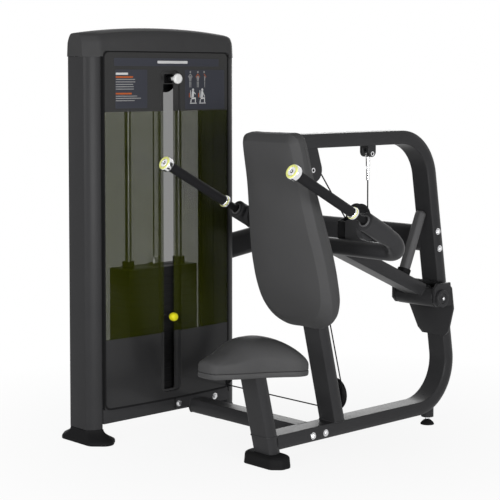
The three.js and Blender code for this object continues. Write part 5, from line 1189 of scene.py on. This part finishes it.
def drawn_in(outline, amount_at):
    """An outline drawn in by an amount that may change along it."""
    result = []
    for i, (u, v) in enumerate(outline):
        before, after = outline[i - 1], outline[(i + 1) % len(outline)]
        along = Vector((after[0] - before[0], after[1] - before[1])).normalized()
        result.append((u - along.y * amount_at(v), v + along.x * amount_at(v)))
    return result


def puffed(piece, held, pressure, travel):
    """The cover blown out between its held seams by a short cloth run, with each point's travel limited."""
    start = [v.co.copy() for v in piece.data.vertices]
    piece.vertex_groups.new(name="seams").add(held, 1.0, "ADD")
    cloth = piece.modifiers.new("cover", "CLOTH")
    cloth.settings.vertex_group_mass = "seams"
    cloth.settings.use_pressure, cloth.settings.uniform_pressure_force = True, pressure
    cloth.settings.effector_weights.gravity = 0
    cloth.point_cache.frame_start, cloth.point_cache.frame_end = 1, 20
    for step in range(1, 21):
        bpy.context.scene.frame_set(step)
    settled(piece)
    bpy.context.scene.frame_set(1)
    for vertex, place in zip(piece.data.vertices, start):
        move = vertex.co - place
        if move.length > travel:
            vertex.co = place + move.normalized() * travel
    finer = piece.modifiers.new("finer", "SUBSURF")
    finer.levels = finer.render_levels = 1
    settled(piece)
    creased(piece.data, 50)


def filled_face(outline, corner, place):
    """The inside of a mirrored outline as a grid between four corners, put on the face by place."""
    total, wide, tall = len(outline), 2 * corner, len(outline) // 2 - 2 * corner
    index = {}
    for i in range(wide + 1):
        index[i, 0], index[i, tall] = (corner - i) % total, total // 2 - corner + i
    for j in range(tall + 1):
        index[0, j], index[wide, j] = corner + j, (total - corner - j) % total
    rim = np.array(outline)
    on_rim = lambda i, j: rim[index[i, j]]
    points = []
    for j in range(1, tall):
        for i in range(1, wide):
            s, t = i / wide, j / tall
            low, high = (mix(on_rim(0, row), on_rim(wide, row), s) for row in (0, tall))
            u, v = (mix(on_rim(i, 0), on_rim(i, tall), t) + mix(on_rim(0, j), on_rim(wide, j), s)
                    - mix(low, high, t))
            index[i, j] = total + len(points)
            points.append(place(u, v))
    return points, [[index[i, j], index[i, j + 1], index[i + 1, j + 1], index[i + 1, j]]
                    for i in range(wide) for j in range(tall)]


def cushion(name, node, rings, face_outline, corner, place, seams, pressure=4.0, travel=0.003):
    """A closed cover of rings and a filled face, held where the rings named as seams run."""
    form = Form().rings(rings, caps=False)
    form.add(rings[0], [list(range(len(rings[0])))[::-1]])
    points, faces = filled_face(face_outline, corner, place)
    piece = form.add(rings[-1] + points, faces).make(name, upholstery, angle=50)
    seam_points = [at(*p) for r in seams for p in rings[r]]
    tree = KDTree(len(seam_points))
    for i, point in enumerate(seam_points):
        tree.insert(point, i)
    tree.balance()
    puffed(piece, [v.index for v in piece.data.vertices if tree.find(v.co)[2] < 1e-5], pressure, travel)
    stand_for(piece, node)


SEAT_FRONT, SEAT_REAR, NOSE_HALF, MIDDLE_HALF, SEAT_HALF, SEAT_CORNER = -355, 6, 52, 106, 158, 60
SEAT_CROWN_Y, SEAT_CROWN, PAD_LOW = -125, 104, 18.3
seat_middle, seat_axis = (SEAT_FRONT + SEAT_REAR) / 2, seat_post_y(SEAT_POST_TOP)
seat_outline = mirrored([
    (0, SEAT_FRONT), (NOSE_HALF * 0.5, SEAT_FRONT + 2), (NOSE_HALF * 0.85, SEAT_FRONT + 10),
    (NOSE_HALF, SEAT_FRONT + 28), ((NOSE_HALF + MIDDLE_HALF) / 2, mix(SEAT_FRONT, seat_middle, 0.5)),
    (MIDDLE_HALF, seat_middle), ((MIDDLE_HALF + SEAT_HALF) / 2, (SEAT_REAR - SEAT_CORNER + seat_middle) / 2),
    (SEAT_HALF, SEAT_REAR - SEAT_CORNER), (SEAT_HALF * 0.95, SEAT_REAR - SEAT_CORNER * 0.4),
    (SEAT_HALF - SEAT_CORNER, SEAT_REAR), (0, SEAT_REAR)])
seat_half = seat_outline[:len(seat_outline) // 2 + 1]
width_at = lambda v, half: float(np.interp(v, [p[1] for p in half], [p[0] for p in half]))
shoulder = lambda y: float(np.interp(y, (SEAT_FRONT, seat_middle, SEAT_REAR), (22, 42, 14)))
nose_line = through([(0, 1), (0.2, 0.98), (0.36, 0.87), (0.54, 0.58), (0.7, 0.38), (0.86, 0.3), (0.95, 0.23),
                     (0.985, 0.15), (1, 0)], 120)


def on_seat(x, y, z):
    y -= seat_axis
    return Vector((x, seat_axis + y * math.cos(SEAT_TILT) + z * math.sin(SEAT_TILT),
                   SEAT_POST_TOP + GAP - y * math.sin(SEAT_TILT) + z * math.cos(SEAT_TILT)))


def seat_ring(draw, height):
    height_at = height if callable(height) else lambda y: height
    return [on_seat(u, v, height_at(v)) for u, v in drawn_in(seat_outline, lambda _: draw)]


def seat_face(u, v):
    """The crown: round across, round to the rear, and running down to a low nose."""
    if v < SEAT_CROWN_Y:
        along = float(np.interp((SEAT_CROWN_Y - v) / (SEAT_CROWN_Y - SEAT_FRONT), *zip(*nose_line)))
    else:
        along = max(0, 1 - ((v - SEAT_CROWN_Y) / (SEAT_REAR - SEAT_CROWN_Y)) ** 2) ** 0.6
    aside = max(0, 1 - abs(u / max(width_at(v, seat_half), 1)) ** 2.2) ** 0.5
    return on_seat(u, v, PAD_LOW + mix(shoulder(v), SEAT_CROWN, max(along, 0) * aside))


rings = [seat_ring(d, z) for d, z in ((5.5, 0), (3, 0.6), (1.2, 3), (0.3, 6), (0, 16.5), (0.8, 18))]
stand_for(Form().rings(rings).make("seat_board_shell", board_black, angle=50), "seat_board")
rings = [seat_ring(d, PAD_LOW + z) for d, z in ((6, 0), (3, 0.4), (1.2, 1.6), (0.2, 5))]
rings += [seat_ring(0.3 * s, lambda y: PAD_LOW + s * shoulder(y)) for s in (*np.linspace(0.22, 0.9, 8), 1)]
seat_seam = len(rings) - 1
for draw in (0.8, 1.8, 3.4, 5.6, 8.6, 12.4, 17):
    seat_top = drawn_in(seat_outline, lambda _: draw)
    rings.append([seat_face(u, v) for u, v in seat_top])
cushion("seat_cushion_cover", "seat_cushion", rings, seat_top, 10, seat_face, (0, 1, 2, seat_seam))

BACK_LOW, BACK_TOP, BACK_TOP_HALF, BACK_LOW_HALF, BACK_BEVEL = 464, 1146, 141, 180, 23
back_tall = (BACK_TOP - BACK_LOW) / math.cos(POST_LEAN)
back_outline = mirrored([
    (0, 0), (BACK_LOW_HALF * 0.45, 1), (BACK_LOW_HALF * 0.78, back_tall * 0.045),
    (BACK_LOW_HALF * 0.96, back_tall * 0.13), (BACK_LOW_HALF, back_tall * 0.25),
    (BACK_LOW_HALF * 0.985, back_tall * 0.4), (mix(BACK_TOP_HALF, BACK_LOW_HALF, 0.55), back_tall * 0.56),
    (mix(BACK_TOP_HALF, BACK_LOW_HALF, 0.16), back_tall * 0.75), (BACK_TOP_HALF, back_tall * 0.92),
    (BACK_TOP_HALF * 0.95, back_tall * 0.975), (BACK_TOP_HALF * 0.8, back_tall * 0.998),
    (BACK_TOP_HALF * 0.4, back_tall), (0, back_tall)], 80)
back_base = Vector((0, back_post_y(BACK_LOW) - TUBE_DEPTH / 2 / math.cos(POST_LEAN), BACK_LOW))
on_back = lambda u, v, out: back_base + X * u + lean * v - rear_face * out
low_share = lambda s: 1 - smooth(s / (back_tall * 0.28))
roll = lambda s: 20 * max(0, 1 - s / 170) ** 2
crease = lambda s: mix(74, 60, smooth((s / back_tall - 0.4) / 0.55)) - roll(s)


def back_line(draw):
    return drawn_in(back_outline, lambda s: draw * (1 + low_share(s)))


def back_ring(draw, out):
    out_at = out if callable(out) else lambda s: out
    return [on_back(u, v, out_at(v)) for u, v in back_line(draw)]


rings = [back_ring(d, z) for d, z in ((9, 0.3), (6, 0.6), (4.2, 2.5), (3, 5), (3, 11), (4, 12))]
stand_for(Form().rings(rings).make("backrest_board_shell", board_black, angle=50), "backrest_board")
rings = [back_ring(d, z) for d, z in ((5, 12.3), (2.5, 12.8), (0.8, 14.5), (0.1, 19))]
rings += [back_ring(0, lambda s: mix(19, crease(s) - BACK_BEVEL, k)) for k in (0.35, 0.68, 0.95)]
first_crease = len(rings)
for k in (0, 0.06, 0.3, 0.5, 0.7, 0.94, 1.0):
    bulge = 0.8 * math.sin(math.pi * k)
    rings.append(back_ring(BACK_BEVEL * k, lambda s: crease(s) - BACK_BEVEL * (1 - k) + bulge))
second_crease = len(rings) - 1
face_half = back_line(BACK_BEVEL)[:len(back_outline) // 2 + 1]
face_low, face_high = face_half[0][1], face_half[-1][1]


def back_face(u, v):
    """The padded face: a long bulge that dies out at its two ends."""
    aside = abs(u) / width_at(v, face_half)
    along = abs(2 * (v - face_low) / (face_high - face_low) - 1)
    return on_back(u, v, crease(v) + 8 * max(0, 1 - aside ** 2.2) * max(0, 1 - along ** 6))


for draw in (1.5, 4):
    face_line = back_line(BACK_BEVEL + draw)
    rings.append([back_face(u, v) for u, v in face_line])
cushion("backrest_cushion_cover", "backrest_cushion", rings, face_line, 14, back_face,
        (0, 1, 2, first_crease, second_crease))


# ---- Camera, light and floor ----
def seen_directly(tree):
    """1 on rays from the camera, off a gloss or through a tint, and 0 on the rays that light the part."""
    rays = tree.nodes.new("ShaderNodeLightPath")
    seen = rays.outputs["Is Camera Ray"]
    for other in ("Is Glossy Ray", "Is Transmission Ray"):
        add = tree.nodes.new("ShaderNodeMath")
        add.operation, add.use_clamp = "ADD", True
        tree.links.new(seen, add.inputs[0])
        tree.links.new(rays.outputs[other], add.inputs[1])
        seen = add.outputs[0]
    return seen


def placed(name, data, place, turn):
    holder = bpy.data.objects.new(name, data)
    bpy.context.scene.collection.objects.link(holder)
    holder.location, holder.rotation_euler = place, turn
    return holder


world = bpy.data.worlds.new("studio")
bpy.context.scene.world = world
world.use_nodes = True
tree = world.node_tree
tree.nodes.clear()
choose = tree.nodes.new("ShaderNodeMixShader")
tree.links.new(seen_directly(tree), choose.inputs[0])
for socket, strength in ((1, 0.02), (2, 1.0)):
    sky = tree.nodes.new("ShaderNodeBackground")
    sky.inputs[0].default_value, sky.inputs[1].default_value = (1, 1, 1, 1), strength
    tree.links.new(sky.outputs[0], choose.inputs[socket])
tree.links.new(choose.outputs[0], tree.nodes.new("ShaderNodeOutputWorld").inputs[0])

AIM = Vector((0, 0, 0.7))
for name, place, size, power in (
        ("key", (4.2, -1.8, 0.9), (2.4, 1.2), 165), ("front_fill", (0.4, -4.8, 1.6), (3.0, 1.4), 105),
        ("rear_fill", (-3.5, 4.0, 1.8), (3.0, 2.0), 50)):
    light = bpy.data.lights.new(name, "AREA")
    light.shape, light.size, light.size_y, light.energy = "RECTANGLE", *size, power
    placed(name, light, place, (AIM - Vector(place)).to_track_quat("-Z", "Y").to_euler())

floor = Finish("pale_floor", Roughness=0.7, Specular_IOR_Level=0.1)
floor.set(Base_Color=floor.mix(floor.noise(2, 2), (0.6, 0.6, 0.6), (0.64, 0.64, 0.64)))
away = floor.node("ShaderNodeVectorMath", {"operation": "LENGTH"}, {0: floor.place()}, output="Value")
lit = floor.node("ShaderNodeMath", {"operation": "MINIMUM"}, {0: away * 0.07 + 0.88, 1: 1.0})
floor.feed(floor.output.inputs[0], floor.node("ShaderNodeMixShader", inputs={
    0: Value(floor, seen_directly(floor.tree)) * lit, 1: Value(floor, floor.shader.outputs[0]),
    2: floor.node("ShaderNodeEmission", inputs={"Strength": 1.0})}))
ground = bpy.data.meshes.new("floor")
ground.from_pydata([(x, y, -0.001) for x, y in ((-30, -30), (30, -30), (30, 30), (-30, 30))], [], [(0, 1, 2, 3)])
shown("floor", ground, floor.material)

camera = bpy.data.cameras.new("photo_view")
camera.lens, camera.sensor_width, camera.shift_y = 36 * 1452.207 / 500, 36, -0.18
camera.clip_start, camera.clip_end = 0.1, 200
bpy.context.scene.camera = placed("photo_view", camera, at(3560.2, -3479.3, 1330.5),
                                  (math.radians(90 - 3.275), 0, math.radians(46.905)))
bpy.context.scene.view_settings.view_transform = "Standard"
